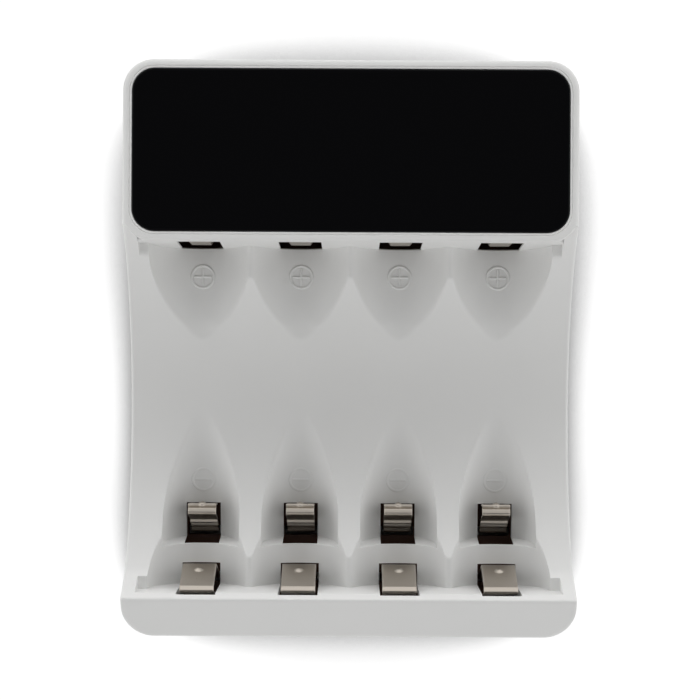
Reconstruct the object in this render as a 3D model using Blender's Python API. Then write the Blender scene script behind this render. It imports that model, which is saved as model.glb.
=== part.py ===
"""Four-bay charger for AA and AAA cells, in metres with +Z up.

+Y points to the tall display head, +X to the right seen from above, and the
origin is the centre of the footprint on the table. The cells lie along Y with
their positive ends at the head wall.
"""

import math

import bpy
import bmesh

MM = 0.001

# Clearances
PART_GAP = 0.3 * MM
EDGE_GAP = 0.45 * MM
PAST = 3.0 * MM
SKIM = 0.3 * MM
GRAZE = 0.02 * MM

# Cells, and the room that each bay leaves round its cell
BAY_COUNT = 4
AA_DIAMETER = 14.5 * MM
AA_LENGTH = 50.5 * MM
AA_SIDE_ROOM = 0.4 * MM
AA_END_ROOM = 1.5 * MM
AAA_DIAMETER = 10.5 * MM
AAA_LENGTH = 44.5 * MM
AAA_SIDE_ROOM = 0.7 * MM
AAA_END_ROOM = 0.55 * MM
AAA_TILT = math.radians(7.5)
AAA_TROUGH_RUN = 24.0 * MM
AA_OPENING_REACH = 3.25 * MM
AAA_SLOT_BACK = 0.8 * MM
CONTACT_BRIDGE = 1.5 * MM

AA_TROUGH_RADIUS = AA_DIAMETER / 2 + AA_SIDE_ROOM
AAA_TROUGH_RADIUS = AAA_DIAMETER / 2 + AAA_SIDE_ROOM
BAY_PITCH = 2 * AA_TROUGH_RADIUS
BAY_X = [(i - (BAY_COUNT - 1) / 2) * BAY_PITCH for i in range(BAY_COUNT)]
CRADLE_HALF_WIDTH = BAY_COUNT * BAY_PITCH / 2

# Casing, along its length
SHELF_WIDTH = 1.45 * MM
SIDE_MARGIN = 2.05 * MM
HEAD_DEPTH = 27.7 * MM
LIP_DEPTH = 6.9 * MM
AA_ROOM_LENGTH = AA_LENGTH + AA_END_ROOM
AAA_ROOM_LENGTH = AAA_LENGTH + AAA_END_ROOM + AAA_SLOT_BACK + CONTACT_BRIDGE + AA_OPENING_REACH
POCKET_LENGTH = max(AA_ROOM_LENGTH, AAA_ROOM_LENGTH)
BODY_LENGTH = HEAD_DEPTH + POCKET_LENGTH + LIP_DEPTH
REAR_Y = BODY_LENGTH / 2
FRONT_Y = -BODY_LENGTH / 2
HEAD_WALL_Y = REAR_Y - HEAD_DEPTH
END_WALL_Y = HEAD_WALL_Y - POCKET_LENGTH
VALLEY_Y = (HEAD_WALL_Y + END_WALL_Y) / 2
AAA_END_Y = HEAD_WALL_Y - AAA_LENGTH - AAA_END_ROOM
POCKET_HALF_WIDTH = CRADLE_HALF_WIDTH + SHELF_WIDTH
HALF_WIDTH = POCKET_HALF_WIDTH + SIDE_MARGIN

# Casing, heights from the table
FOOT_DROP = 0.6 * MM
BASE_FLOOR = 1.6 * MM
BOARD_UNDERSIDE = 3.4 * MM
BOARD_THICKNESS = 1.2 * MM
SPLIT_Z = 3.6 * MM
AAA_END_FLOOR_Z = 8.3 * MM
AAA_STEP = 5.2 * MM
VALLEY_DIP = 2.6 * MM
SHELF_RISE = 0.35 * MM
HEAD_RISE = 13.5 * MM
CREST_OVER_HEAD = 0.1 * MM
FLOOR_Z = FOOT_DROP + BASE_FLOOR
BOARD_TOP = BOARD_UNDERSIDE + BOARD_THICKNESS
BOARD_MIDDLE = BOARD_UNDERSIDE + BOARD_THICKNESS / 2
AA_FLOOR_Z = AAA_END_FLOOR_Z + AAA_STEP
AA_AXIS_Z = AA_FLOOR_Z + AA_TROUGH_RADIUS
SHELF_Z = AA_AXIS_Z + SHELF_RISE
HEAD_TOP_Z = AA_FLOOR_Z + HEAD_RISE
CREST_Z = HEAD_TOP_Z + CREST_OVER_HEAD
VALLEY_FLOOR_Z = AA_FLOOR_Z - VALLEY_DIP

# Casing walls, curves and edges
OUTER_WALL = 1.6 * MM
FLOOR_WALL = 1.4 * MM
HEAD_WALL = 1.2 * MM
END_WALL = 1.0 * MM
VALLEY_RADIUS = 34.0 * MM
RIDGE_FILLET = 0.7 * MM
HEAD_CORNER = 4.6 * MM
HEAD_FRONT_CORNER = 4.1 * MM
FRONT_CORNER = 4.7 * MM
TOP_FILLET = 0.8 * MM
CREST_DEPTH = 0.85 * MM
CREST_FILLET = 0.35 * MM
RISE_HEIGHT = 6.84 * MM
RISE_FILLET = 4.0 * MM
LIP_FILLET = 0.9 * MM
LIP_DROP = 4.0 * MM
SIDE_DRAFT = 0.01
HEAD_WALL_DRAFT = 0.8 / 13.5
END_WALL_DRAFT = 0.1 / 13.5
HEAD_FACE_Y = HEAD_WALL_Y + HEAD_WALL_DRAFT * HEAD_RISE
CREST_Y = END_WALL_Y - CREST_DEPTH
RISE_FOOT_OVER_FLOOR = CREST_Z - RISE_HEIGHT - VALLEY_FLOOR_Z
RISE_FOOT_REACH = math.sqrt((2 * VALLEY_RADIUS - RISE_FOOT_OVER_FLOOR) * RISE_FOOT_OVER_FLOOR)
CREST_SLOPE = RISE_HEIGHT / (VALLEY_Y - RISE_FOOT_REACH - CREST_Y)
LIP_SLOPE = LIP_DROP / (CREST_Y - FRONT_Y)

# Display window and what lies under it
WINDOW_RIM = 1.45 * MM
WINDOW_FRONT_RIM = 1.2 * MM
WINDOW_REAR_RIM = 1.4 * MM
WINDOW_THICKNESS = 1.3 * MM
WINDOW_CORNER = 3.4 * MM
WINDOW_SEAT = 1.5 * MM
WINDOW_EDGE = 0.15 * MM
DISPLAY_SIDE_MARGIN = 9.65 * MM
DISPLAY_END_MARGIN = 4.65 * MM
DISPLAY_BOARD_SIDE = 3.5 * MM
DISPLAY_BOARD_END = 2.0 * MM
DISPLAY_BOARD_THICKNESS = 1.0 * MM
DISPLAY_BOARD_DROP = 2.1 * MM
DISPLAY_POST_RADIUS = 1.5 * MM
HEADER_PINS = 4
HEADER_PITCH = 2.54 * MM
HEADER_PIN_RADIUS = 0.36 * MM
WINDOW_FRONT_Y = HEAD_FACE_Y + WINDOW_FRONT_RIM
WINDOW_REAR_Y = REAR_Y - WINDOW_REAR_RIM
WINDOW_Y = (WINDOW_FRONT_Y + WINDOW_REAR_Y) / 2
WINDOW_UNDERSIDE = HEAD_TOP_Z - WINDOW_THICKNESS
DISPLAY_HALF_WIDTH = HALF_WIDTH - WINDOW_RIM - DISPLAY_SIDE_MARGIN
DISPLAY_HALF_DEPTH = (WINDOW_REAR_Y - WINDOW_FRONT_Y) / 2 - DISPLAY_END_MARGIN
SEAT_Z = WINDOW_UNDERSIDE - PART_GAP
HEAD_CEILING_Z = SEAT_Z - WINDOW_SEAT
DISPLAY_BOARD_TOP = HEAD_CEILING_Z - DISPLAY_BOARD_DROP
DISPLAY_BOARD_UNDERSIDE = DISPLAY_BOARD_TOP - DISPLAY_BOARD_THICKNESS

# Openings for the contacts
POSITIVE_OPENING_WIDTH = 6.5 * MM
POSITIVE_SILL = 0.1 * MM
POSITIVE_LINTEL = 3.3 * MM
AA_OPENING_WIDTH = 5.95 * MM
AA_LINTEL = 1.1 * MM
AAA_SLOT_WIDTH = 5.4 * MM
AAA_SLOT_LENGTH = 6.1 * MM
POSITIVE_OPENING_TOP = HEAD_TOP_Z - POSITIVE_LINTEL
AA_OPENING_TOP = CREST_Z - AA_LINTEL

# Contacts, stamped from strip
STRIP = 0.3 * MM
LEAF_RISER = 0.8 * MM
AA_LEAF_WIDTH = 5.2 * MM
AA_ROOT_FROM_WALL = 0.1 * MM
AA_KNEE_REACH = 3.3 * MM
AA_KNEE_HEIGHT = 3.7 * MM
AA_FOLD_REACH = 0.2 * MM
AA_FOLD_ROOM = 2.1 * MM
AA_HOOK_DEPTH = 0.75 * MM
AA_HOOK_DROP = 2.4 * MM
AA_BEND_RADII = [0.8 * MM, 0.5 * MM, 0.3 * MM]
AA_DIMPLE_SHARE = 0.25
AAA_LEAF_WIDTH = 4.4 * MM
AAA_ROOT_FROM_END = 0.55 * MM
AAA_FACE_FROM_END = 5.4 * MM
AAA_LEAF_HEIGHT = 5.0 * MM
AAA_FACE_HEIGHT = 3.5 * MM
AAA_FACE_LEAN = 0.3 * MM
AAA_LOOP_DEPTH = 1.6 * MM
AAA_LOOP_DROP = 0.4 * MM
AAA_DIMPLE_DROP = 0.9 * MM
AAA_RISER_BEND = 0.5 * MM
AAA_BEND_RADII = [0.4 * MM, 0.35 * MM]
RIPPLES = 3
RIPPLE_RISE = 0.22 * MM
RIPPLE_BEND = 0.3 * MM
RIPPLE_START = 0.08
RIPPLE_STEP = 0.07
DIMPLE_RADIUS = 0.6 * MM
POSITIVE_PLATE_WIDTH = 7.4 * MM
POSITIVE_PLATE_THICKNESS = 0.4 * MM
POSITIVE_PAD_WIDTH = 4.2 * MM
POSITIVE_PAD_HEIGHT = 7.0 * MM
POSITIVE_PAD_ROOM = 0.6 * MM
POSITIVE_PAD_SETBACK = 0.45 * MM
POSITIVE_PAD_EDGE = 0.3 * MM
POSITIVE_PAD_TAPER = 0.1 * MM
POSITIVE_TAIL_WIDTH = 3.0 * MM
TAIL_LENGTH = 0.25 * MM
TAIL_ROOM = 0.6 * MM
AA_ROOT_Y = END_WALL_Y + AA_ROOT_FROM_WALL
AAA_ROOT_Y = AAA_END_Y + AAA_ROOT_FROM_END
POSITIVE_PLATE_Y = HEAD_FACE_Y + HEAD_WALL + PART_GAP
POSITIVE_PLATE_TOP = HEAD_CEILING_Z - EDGE_GAP
TAIL_END_Z = BOARD_UNDERSIDE - TAIL_LENGTH

# Base, feet and screws
TONGUE_WALL = 0.8 * MM
TONGUE_HEIGHT = 1.6 * MM
BASE_EDGE = 0.8 * MM
POST_RADIUS = 1.8 * MM
POST_Y = 33.0 * MM
VENT_COUNT = 7
VENT_PITCH = 3.6 * MM
VENT_WIDTH = 1.5 * MM
VENT_LENGTH = 16.0 * MM
FOOT_RADIUS = 4.0 * MM
FOOT_INSET_X = 9.1 * MM
FOOT_INSET_Y = 12.0 * MM
FOOT_SEAT_DEPTH = 0.7 * MM
FOOT_EDGE = 0.2 * MM
SCREW_INSET = 4.0 * MM
BOSS_RADIUS = 2.6 * MM
PILLAR_RADIUS = 3.2 * MM
SCREW_RADIUS = 0.95 * MM
SCREW_HEAD_RADIUS = 2.1 * MM
SCREW_HEAD_HEIGHT = 1.1 * MM
SCREW_SEAT_DEPTH = 1.6 * MM
SCREW_LENGTH = 7.5 * MM
SCREW_PLACES = [
    (side * (HALF_WIDTH - SCREW_INSET), end * (REAR_Y - SCREW_INSET))
    for end in (-1, 1)
    for side in (-1, 1)
]
FOOT_PLACES = [
    (side * (HALF_WIDTH - FOOT_INSET_X), end * (REAR_Y - FOOT_INSET_Y))
    for end in (-1, 1)
    for side in (-1, 1)
]

# Charging inlet
SOCKET_WIDTH = 8.9 * MM
SOCKET_HEIGHT = 3.2 * MM
SOCKET_DEPTH = 7.3 * MM
SOCKET_WALL = 0.3 * MM
SOCKET_BACK = 1.0 * MM
SOCKET_SETBACK = 0.35 * MM
TONGUE_PLATE_WIDTH = 6.6 * MM
TONGUE_PLATE_THICKNESS = 0.7 * MM
TONGUE_PLATE_ROOT = 0.5 * MM
TONGUE_PLATE_SETBACK = 0.8 * MM
SOCKET_MIDDLE_Z = BOARD_TOP + PART_GAP + SOCKET_HEIGHT / 2

# Parts on the main board
BOARD_CORNER = 1.0 * MM
PART_ROW_INSET = 11.5 * MM
CHIP_X = -14.0 * MM
CHIP_SIDE = 8.0 * MM
CHIP_HEIGHT = 1.2 * MM
INDUCTOR_X = 14.0 * MM
INDUCTOR_SIDE = 7.0 * MM
INDUCTOR_HEIGHT = 3.5 * MM
CAPACITOR_X = [-26.0 * MM, 24.0 * MM]
CAPACITOR_RADIUS = 3.15 * MM
CAPACITOR_HEIGHT = 7.7 * MM
TRANSISTOR_SIZE = (2.9 * MM, 1.5 * MM, 1.1 * MM)
TRANSISTOR_SETBACK = 4.0 * MM
PART_ROW_Y = REAR_Y - PART_ROW_INSET
PART_BASE_Z = BOARD_TOP + PART_GAP

WHITE = (0.80, 0.80, 0.80)
BLACK_GLOSS = (0.004, 0.004, 0.005)
NICKEL = (0.62, 0.58, 0.53)
STEEL = (0.50, 0.50, 0.50)
BOARD_GREEN = (0.02, 0.13, 0.05)
EPOXY_BLACK = (0.02, 0.02, 0.02)
RUBBER_GREY = (0.12, 0.12, 0.12)
DISPLAY_GREY = (0.05, 0.06, 0.06)
FERRITE = (0.06, 0.06, 0.06)
ALUMINIUM = (0.55, 0.55, 0.57)


def clear_scene():
    for obj in list(bpy.data.objects):
        bpy.data.objects.remove(obj, do_unlink=True)


def finish(obj, name, colour, roughness, metallic=0.0):
    """Gives the object a Principled material of its own."""
    material = bpy.data.materials.new(name)
    material.use_nodes = True
    shader = material.node_tree.nodes["Principled BSDF"]
    shader.inputs["Base Color"].default_value = (*colour, 1.0)
    shader.inputs["Roughness"].default_value = roughness
    shader.inputs["Metallic"].default_value = metallic
    obj.data.materials.append(material)


def arc(centre, radius, start, end, steps):
    """Points of an arc from one angle to another, in degrees."""
    angles = [math.radians(start + (end - start) * i / steps) for i in range(steps + 1)]
    return [(centre[0] + radius * math.cos(a), centre[1] + radius * math.sin(a)) for a in angles]


def rounded_rectangle(x_half, front, rear, front_corner, rear_corner, steps=6):
    corners = [
        (x_half - front_corner, front + front_corner, front_corner, -90),
        (x_half - rear_corner, rear - rear_corner, rear_corner, 0),
        (rear_corner - x_half, rear - rear_corner, rear_corner, 90),
        (front_corner - x_half, front + front_corner, front_corner, 180),
    ]
    points = []
    for x, y, radius, start in corners:
        points += arc((x, y), radius, start, start + 90, steps)
    return points


def rounded_path(points, radii, steps=3):
    """A polyline whose inner corners are arcs, tangent to the straight runs on both sides."""
    path = [points[0]]
    for before, corner, after, radius in zip(points, points[1:], points[2:], radii):
        into = (before[0] - corner[0], before[1] - corner[1])
        out = (after[0] - corner[0], after[1] - corner[1])
        into_length = math.hypot(*into)
        out_length = math.hypot(*out)
        into = (into[0] / into_length, into[1] / into_length)
        out = (out[0] / out_length, out[1] / out_length)
        half = math.acos(into[0] * out[0] + into[1] * out[1]) / 2
        reach = min(radius / math.tan(half), 0.45 * into_length, 0.45 * out_length)
        middle = (into[0] + out[0], into[1] + out[1])
        offset = reach / math.cos(half) / math.hypot(*middle)
        centre = (corner[0] + middle[0] * offset, corner[1] + middle[1] * offset)
        first = (corner[0] + into[0] * reach - centre[0], corner[1] + into[1] * reach - centre[1])
        last = (corner[0] + out[0] * reach - centre[0], corner[1] + out[1] * reach - centre[1])
        start = math.atan2(first[1], first[0])
        turn = (math.atan2(last[1], last[0]) - start + math.pi) % (2 * math.pi) - math.pi
        path += arc(centre, reach * math.tan(half), math.degrees(start), math.degrees(start + turn), steps)
    path.append(points[-1])
    return path


def loft(name, rings):
    """A closed solid through rings that have the same number of points, capped at both ends."""
    bm = bmesh.new()
    loops = [[bm.verts.new(point) for point in ring] for ring in rings]
    bm.faces.new(loops[0])
    bm.faces.new(loops[-1])
    for lower, upper in zip(loops, loops[1:]):
        for i in range(len(lower)):
            j = (i + 1) % len(lower)
            bm.faces.new((lower[i], lower[j], upper[j], upper[i]))
    bmesh.ops.recalc_face_normals(bm, faces=bm.faces)
    mesh = bpy.data.meshes.new(name)
    bm.to_mesh(mesh)
    bm.free()
    obj = bpy.data.objects.new(name, mesh)
    bpy.context.scene.collection.objects.link(obj)
    return obj


def prism_x(name, outline, low, high):
    return loft(name, [[(x, y, z) for y, z in outline] for x in (low, high)])


def prism_y(name, outline, low, high):
    return loft(name, [[(x, y, z) for x, z in outline] for y in (low, high)])


def prism_z(name, outline, low, high):
    return loft(name, [[(x, y, z) for x, y in outline] for z in (low, high)])


def box(name, low, high):
    outline = [(low[0], low[1]), (high[0], low[1]), (high[0], high[1]), (low[0], high[1])]
    return prism_z(name, outline, low[2], high[2])


def cylinder(name, place, radius, low, high, sides=24):
    return prism_z(name, arc(place, radius, 0, 360 * (sides - 1) / sides, sides - 1), low, high)


def smooth(obj, angle=35):
    obj.data.shade_smooth()
    obj.data.set_sharp_from_angle(angle=math.radians(angle))


def combine(target, other, operation):
    """A Boolean that keeps the other object as a hidden tool."""
    modifier = target.modifiers.new(other.name, "BOOLEAN")
    modifier.operation = operation
    modifier.solver = "EXACT"
    modifier.object = other
    other.hide_render = True
    other.display_type = "WIRE"


def cut(target, *tools):
    for tool in tools:
        combine(target, tool, "DIFFERENCE")


def join(target, *tools):
    for tool in tools:
        combine(target, tool, "UNION")


def cradle_outline(grow, ridge_fillet):
    """Section across the bays: half-round troughs, rounded ridges between them, a shelf on each side."""
    radius = AA_TROUGH_RADIUS + grow
    drop = math.sqrt((radius + ridge_fillet) ** 2 - (BAY_PITCH / 2) ** 2)
    lean = math.degrees(math.atan2(drop, BAY_PITCH / 2))
    shelf = SHELF_Z - grow
    side = BAY_X[-1] + radius
    outer = POCKET_HALF_WIDTH + grow
    top = HEAD_TOP_Z + PAST
    points = [(-outer, top), (-outer, shelf), (-side, shelf)]
    for i, x in enumerate(BAY_X):
        first = 180 if i == 0 else 180 + lean
        last = 360 if i == BAY_COUNT - 1 else 360 - lean
        points += arc((x, AA_AXIS_Z), radius, first, last, 14)
        if i < BAY_COUNT - 1 and ridge_fillet:
            ridge = (x + BAY_PITCH / 2, AA_AXIS_Z - drop)
            points += arc(ridge, ridge_fillet, 180 - lean, lean, 4)[1:-1]
        elif i < BAY_COUNT - 1:
            points.pop()
    points += [(side, shelf), (outer, shelf), (outer, top)]
    return points


def cradle(name, grow, head_wall, end_wall, ridge_fillet):
    """The battery room, between the head wall and the end wall, which both lean outwards for the mould."""
    outline = cradle_outline(grow, ridge_fillet)
    front = [(x, END_WALL_Y - end_wall - END_WALL_DRAFT * (z - AA_FLOOR_Z), z) for x, z in outline]
    rear = [(x, HEAD_WALL_Y + head_wall + HEAD_WALL_DRAFT * (z - AA_FLOOR_Z), z) for x, z in outline]
    return loft(name, [front, rear])


def aaa_trough(name, x, grow):
    """A half-round trough for the thinner cell, tilted so that the cell's negative end lies lower."""
    radius = AAA_TROUGH_RADIUS + grow
    top = HEAD_RISE + AAA_STEP + PAST
    outline = [(-radius, top), *arc((0, AAA_TROUGH_RADIUS), radius, 180, 360, 14), (radius, top)]
    trough = prism_y(name, outline, -grow, AAA_TROUGH_RUN)
    trough.rotation_euler.x = AAA_TILT
    trough.location = (x, AAA_END_Y, AAA_END_FLOOR_Z)
    return trough


def rise_foot(crest, centre, radius):
    """Where the steep line down from the crest meets the valley's arc, as an angle at the arc's centre."""
    run = math.hypot(1, CREST_SLOPE)
    along = (1 / run, -CREST_SLOPE / run)
    to_centre = (centre[0] - crest[0], centre[1] - crest[1])
    middle = to_centre[0] * along[0] + to_centre[1] * along[1]
    aside = math.hypot(*to_centre) ** 2 - middle ** 2
    reach = middle + math.sqrt(radius ** 2 - aside)
    return math.atan2(reach * along[1] - to_centre[1], reach * along[0] - to_centre[0])


def valley(name, grow, rear_limit):
    """What is open above the tray: a sunk arc, the steep rise to the crest, and the lip in front of it."""
    radius = VALLEY_RADIUS + grow
    centre = (VALLEY_Y, VALLEY_FLOOR_Z + VALLEY_RADIUS)
    lip_grow = grow * math.hypot(1, LIP_SLOPE)
    rise_grow = grow * math.hypot(1, CREST_SLOPE)
    shift = (lip_grow - rise_grow) / (LIP_SLOPE + CREST_SLOPE)
    crest = (CREST_Y + shift, CREST_Z + LIP_SLOPE * shift - lip_grow)
    start = math.degrees(rise_foot(crest, centre, radius))
    high = HEAD_TOP_Z + PAST
    rear_y = centre[0] + math.sqrt(radius ** 2 - (centre[1] - high + PAST / 2) ** 2)
    end = math.degrees(-math.acos((min(rear_limit, rear_y) - centre[0]) / radius))
    if start > 0:
        start -= 360
    floor = arc(centre, radius, start, end, 30)
    if grow:
        lip_y = FRONT_Y - PAST
        edge = [(lip_y, crest[1] - LIP_SLOPE * (crest[0] - lip_y)), crest, *floor]
    else:
        lip_z = CREST_Z - LIP_DROP
        lip_y = FRONT_Y - SIDE_DRAFT * (HEAD_TOP_Z - lip_z) - GRAZE
        corners = [(lip_y, lip_z - PAST), (lip_y, lip_z), crest, floor[0], floor[1]]
        edge = rounded_path(corners, [LIP_FILLET, CREST_FILLET, RISE_FILLET])[1:-1] + floor[1:]
    outside = FRONT_Y - 2 * PAST
    outline = [(outside, high), (outside, edge[0][1]), *edge, (edge[-1][0], high)]
    return prism_x(name, outline, -HALF_WIDTH - PAST, HALF_WIDTH + PAST)


def head_block():
    """The display head, past the casing on all sides but its front edge with the rounded corners."""
    reach = HALF_WIDTH - HEAD_FRONT_CORNER
    middle_y = HEAD_FACE_Y + HEAD_FRONT_CORNER
    wide = HALF_WIDTH + 2 * PAST
    rear = REAR_Y + 2 * PAST
    left = arc((-reach, middle_y), HEAD_FRONT_CORNER, 190, 270, 8)
    right = arc((reach, middle_y), HEAD_FRONT_CORNER, -90, -10, 8)
    outline = [(-wide, left[0][1]), *left, *right, (wide, right[-1][1]), (wide, rear), (-wide, rear)]
    return prism_z("head_block", outline, 0, HEAD_TOP_Z + 2 * PAST)


def casing_ring(inset, z):
    """The casing's outline at one height, less the inset. Its walls lean outwards towards the table."""
    grow = SIDE_DRAFT * (HEAD_TOP_Z - z) - inset
    outline = rounded_rectangle(
        HALF_WIDTH + grow, FRONT_Y - grow, REAR_Y + grow, FRONT_CORNER + grow, HEAD_CORNER + grow
    )
    return [(x, y, z) for x, y in outline]


def casing_block(name, inset, low, high):
    return loft(name, [casing_ring(inset, low), casing_ring(inset, high)])


def filleted_rings(radius, edge_z, upwards, steps=3):
    """Rings of a rounded edge: the outline draws in as the height nears the edge's plane."""
    rings = []
    for i in range(steps + 1):
        turn = math.pi / 2 * i / steps
        inset = radius * (1 - math.cos(turn))
        rings.append(casing_ring(inset, edge_z - upwards * radius * (1 - math.sin(turn))))
    return rings


def window_outline(grow):
    half = HALF_WIDTH - WINDOW_RIM + grow
    corner = WINDOW_CORNER + grow
    return rounded_rectangle(half, WINDOW_FRONT_Y - grow, WINDOW_REAR_Y + grow, corner, corner)


def stadium(width, height, middle_z, steps=8):
    """A slot outline with half-round ends, across X and Z."""
    radius = height / 2
    shift = width / 2 - radius
    return arc((shift, middle_z), radius, -90, 90, steps) + arc((-shift, middle_z), radius, 90, 270, steps)


def display_posts(low, high):
    """Four posts under the window seat, which carry the display board."""
    reach_x = DISPLAY_HALF_WIDTH + DISPLAY_BOARD_SIDE / 2
    places = [(a * reach_x, WINDOW_Y + b * DISPLAY_HALF_DEPTH) for a in (-1, 1) for b in (-1, 1)]
    return [
        cylinder(f"display_post_{i}", place, DISPLAY_POST_RADIUS, low, high, 12)
        for i, place in enumerate(places)
    ]


def upper_cavity():
    """The room inside the upper housing, less the backs of the troughs, the valley and the bosses."""
    cavity = casing_block("upper_cavity", OUTER_WALL, -PAST, HEAD_CEILING_Z)
    cut(cavity, valley("valley_back", FLOOR_WALL, HEAD_FACE_Y + HEAD_WALL))
    cut(cavity, cradle("cradle_back", FLOOR_WALL, HEAD_WALL, END_WALL, 0.0))
    for i, x in enumerate(BAY_X):
        cut(cavity, aaa_trough(f"aaa_back_{i + 1}", x, FLOOR_WALL))
    for i, place in enumerate(SCREW_PLACES):
        boss = cylinder(f"boss_{i + 1}", place, BOSS_RADIUS, SPLIT_Z + PART_GAP / 2, HEAD_TOP_Z)
        cut(cavity, boss)
    cut(cavity, *display_posts(DISPLAY_BOARD_TOP + PART_GAP, HEAD_TOP_Z))
    return cavity


def contact_openings():
    """For each bay an opening in the head wall, a slot in the thin trough and a notch in the end wall."""
    tools = []
    for i, x in enumerate(BAY_X):
        half = POSITIVE_OPENING_WIDTH / 2
        low = (x - half, HEAD_WALL_Y - SKIM, AA_FLOOR_Z + POSITIVE_SILL)
        high = (x + half, HEAD_FACE_Y + HEAD_WALL + SKIM, POSITIVE_OPENING_TOP)
        tools.append(box(f"positive_opening_{i + 1}", low, high))
        half = AA_OPENING_WIDTH / 2
        low = (x - half, END_WALL_Y - END_WALL - SKIM, AAA_END_FLOOR_Z)
        high = (x + half, END_WALL_Y + AA_OPENING_REACH, AA_OPENING_TOP)
        tools.append(box(f"aa_opening_{i + 1}", low, high))
        half = AAA_SLOT_WIDTH / 2
        end = AAA_END_Y - AAA_SLOT_BACK
        low = (x - half, end, BOARD_TOP)
        high = (x + half, end + AAA_SLOT_LENGTH, AA_FLOOR_Z + SKIM)
        tools.append(box(f"aaa_slot_{i + 1}", low, high))
    return tools


def build_upper_housing():
    bottom = SPLIT_Z + PART_GAP / 2
    rings = [casing_ring(0, bottom), *filleted_rings(TOP_FILLET, HEAD_TOP_Z, 1)]
    housing = loft("upper_housing", rings)
    tray_room = valley("tray_room", 0.0, REAR_Y)
    cut(tray_room, head_block())
    cut(housing, tray_room)
    cut(housing, cradle("cradle_room", 0.0, 0.0, 0.0, RIDGE_FILLET))
    for i, x in enumerate(BAY_X):
        cut(housing, aaa_trough(f"aaa_trough_{i + 1}", x, 0.0))
    cut(housing, upper_cavity())
    cut(housing, *contact_openings())
    cut(housing, prism_z("window_seat", window_outline(PART_GAP), SEAT_Z, HEAD_TOP_Z + PAST))
    reach = (DISPLAY_HALF_WIDTH + EDGE_GAP, DISPLAY_HALF_DEPTH + EDGE_GAP)
    low = (-reach[0], WINDOW_Y - reach[1], HEAD_CEILING_Z - PAST)
    high = (reach[0], WINDOW_Y + reach[1], SEAT_Z + PAST)
    cut(housing, box("display_aperture", low, high))
    inlet = stadium(SOCKET_WIDTH + 2 * PART_GAP, SOCKET_HEIGHT + 2 * PART_GAP, SOCKET_MIDDLE_Z)
    cut(housing, prism_y("inlet_opening", inlet, REAR_Y - OUTER_WALL - PAST, REAR_Y + PAST))
    for i, place in enumerate(SCREW_PLACES):
        top = FOOT_DROP + SCREW_LENGTH + SCREW_SEAT_DEPTH + PART_GAP
        cut(housing, cylinder(f"pilot_{i + 1}", place, SCREW_RADIUS + PART_GAP, 0, top, 12))
    finish(housing, "white_casing", WHITE, 0.5)
    smooth(housing)


def build_lower_housing():
    top = SPLIT_Z - PART_GAP / 2
    rings = [*reversed(filleted_rings(BASE_EDGE, FOOT_DROP, -1)), casing_ring(0, top)]
    housing = loft("lower_housing", rings)
    cut(housing, casing_block("base_room", OUTER_WALL, FLOOR_Z, top + PAST))
    outer = OUTER_WALL + PART_GAP
    tongue = casing_block("tongue", outer, FOOT_DROP + BASE_FLOOR / 2, top + TONGUE_HEIGHT)
    cut(tongue, casing_block("tongue_room", outer + TONGUE_WALL, 0, top + TONGUE_HEIGHT + PAST))
    for i, place in enumerate(SCREW_PLACES):
        cut(tongue, cylinder(f"tongue_notch_{i + 1}", place, PILLAR_RADIUS + PART_GAP, 0, HEAD_TOP_Z))
    half = SOCKET_WIDTH / 2 + 2 * PART_GAP
    low = (-half, REAR_Y - 2 * PAST, BOARD_UNDERSIDE)
    cut(tongue, box("tongue_inlet_notch", low, (half, REAR_Y + PAST, HEAD_TOP_Z)))
    join(housing, tongue)
    for i, place in enumerate(SCREW_PLACES):
        join(housing, cylinder(f"pillar_{i + 1}", place, PILLAR_RADIUS, FOOT_DROP + BASE_FLOOR / 2, top))
    posts = [(a * BAY_PITCH, b * POST_Y) for a in (-1, 1) for b in (-1, 0, 1)]
    low = FOOT_DROP + BASE_FLOOR / 2
    high = BOARD_UNDERSIDE - PART_GAP
    for i, place in enumerate(posts):
        join(housing, cylinder(f"board_post_{i + 1}", place, POST_RADIUS, low, high, 16))
    for i, place in enumerate(SCREW_PLACES):
        head_room = SCREW_HEAD_RADIUS + PART_GAP
        cut(housing, cylinder(f"counterbore_{i + 1}", place, head_room, 0, FOOT_DROP + SCREW_SEAT_DEPTH))
        cut(housing, cylinder(f"screw_hole_{i + 1}", place, SCREW_RADIUS + PART_GAP, 0, SPLIT_Z + PAST, 12))
    for i, place in enumerate(FOOT_PLACES):
        top = FOOT_DROP + FOOT_SEAT_DEPTH
        cut(housing, cylinder(f"foot_seat_{i + 1}", place, FOOT_RADIUS + PART_GAP, 0, top, 32))
    end = VENT_WIDTH / 2 - GRAZE / 2
    outline = rounded_rectangle(VENT_WIDTH / 2, -VENT_LENGTH / 2, VENT_LENGTH / 2, end, end, 4)
    for i in range(VENT_COUNT):
        x = (i - (VENT_COUNT - 1) / 2) * VENT_PITCH
        cut(housing, prism_z(f"vent_{i + 1}", [(x + a, b) for a, b in outline], 0, FLOOR_Z + SKIM))
    finish(housing, "white_base", WHITE, 0.5)
    smooth(housing)


def build_window():
    rings = [
        [(x, y, WINDOW_UNDERSIDE) for x, y in window_outline(0)],
        [(x, y, HEAD_TOP_Z - WINDOW_EDGE) for x, y in window_outline(0)],
        [(x, y, HEAD_TOP_Z) for x, y in window_outline(-WINDOW_EDGE)],
    ]
    window = loft("display_window", rings)
    finish(window, "black_window", BLACK_GLOSS, 0.08)


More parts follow.
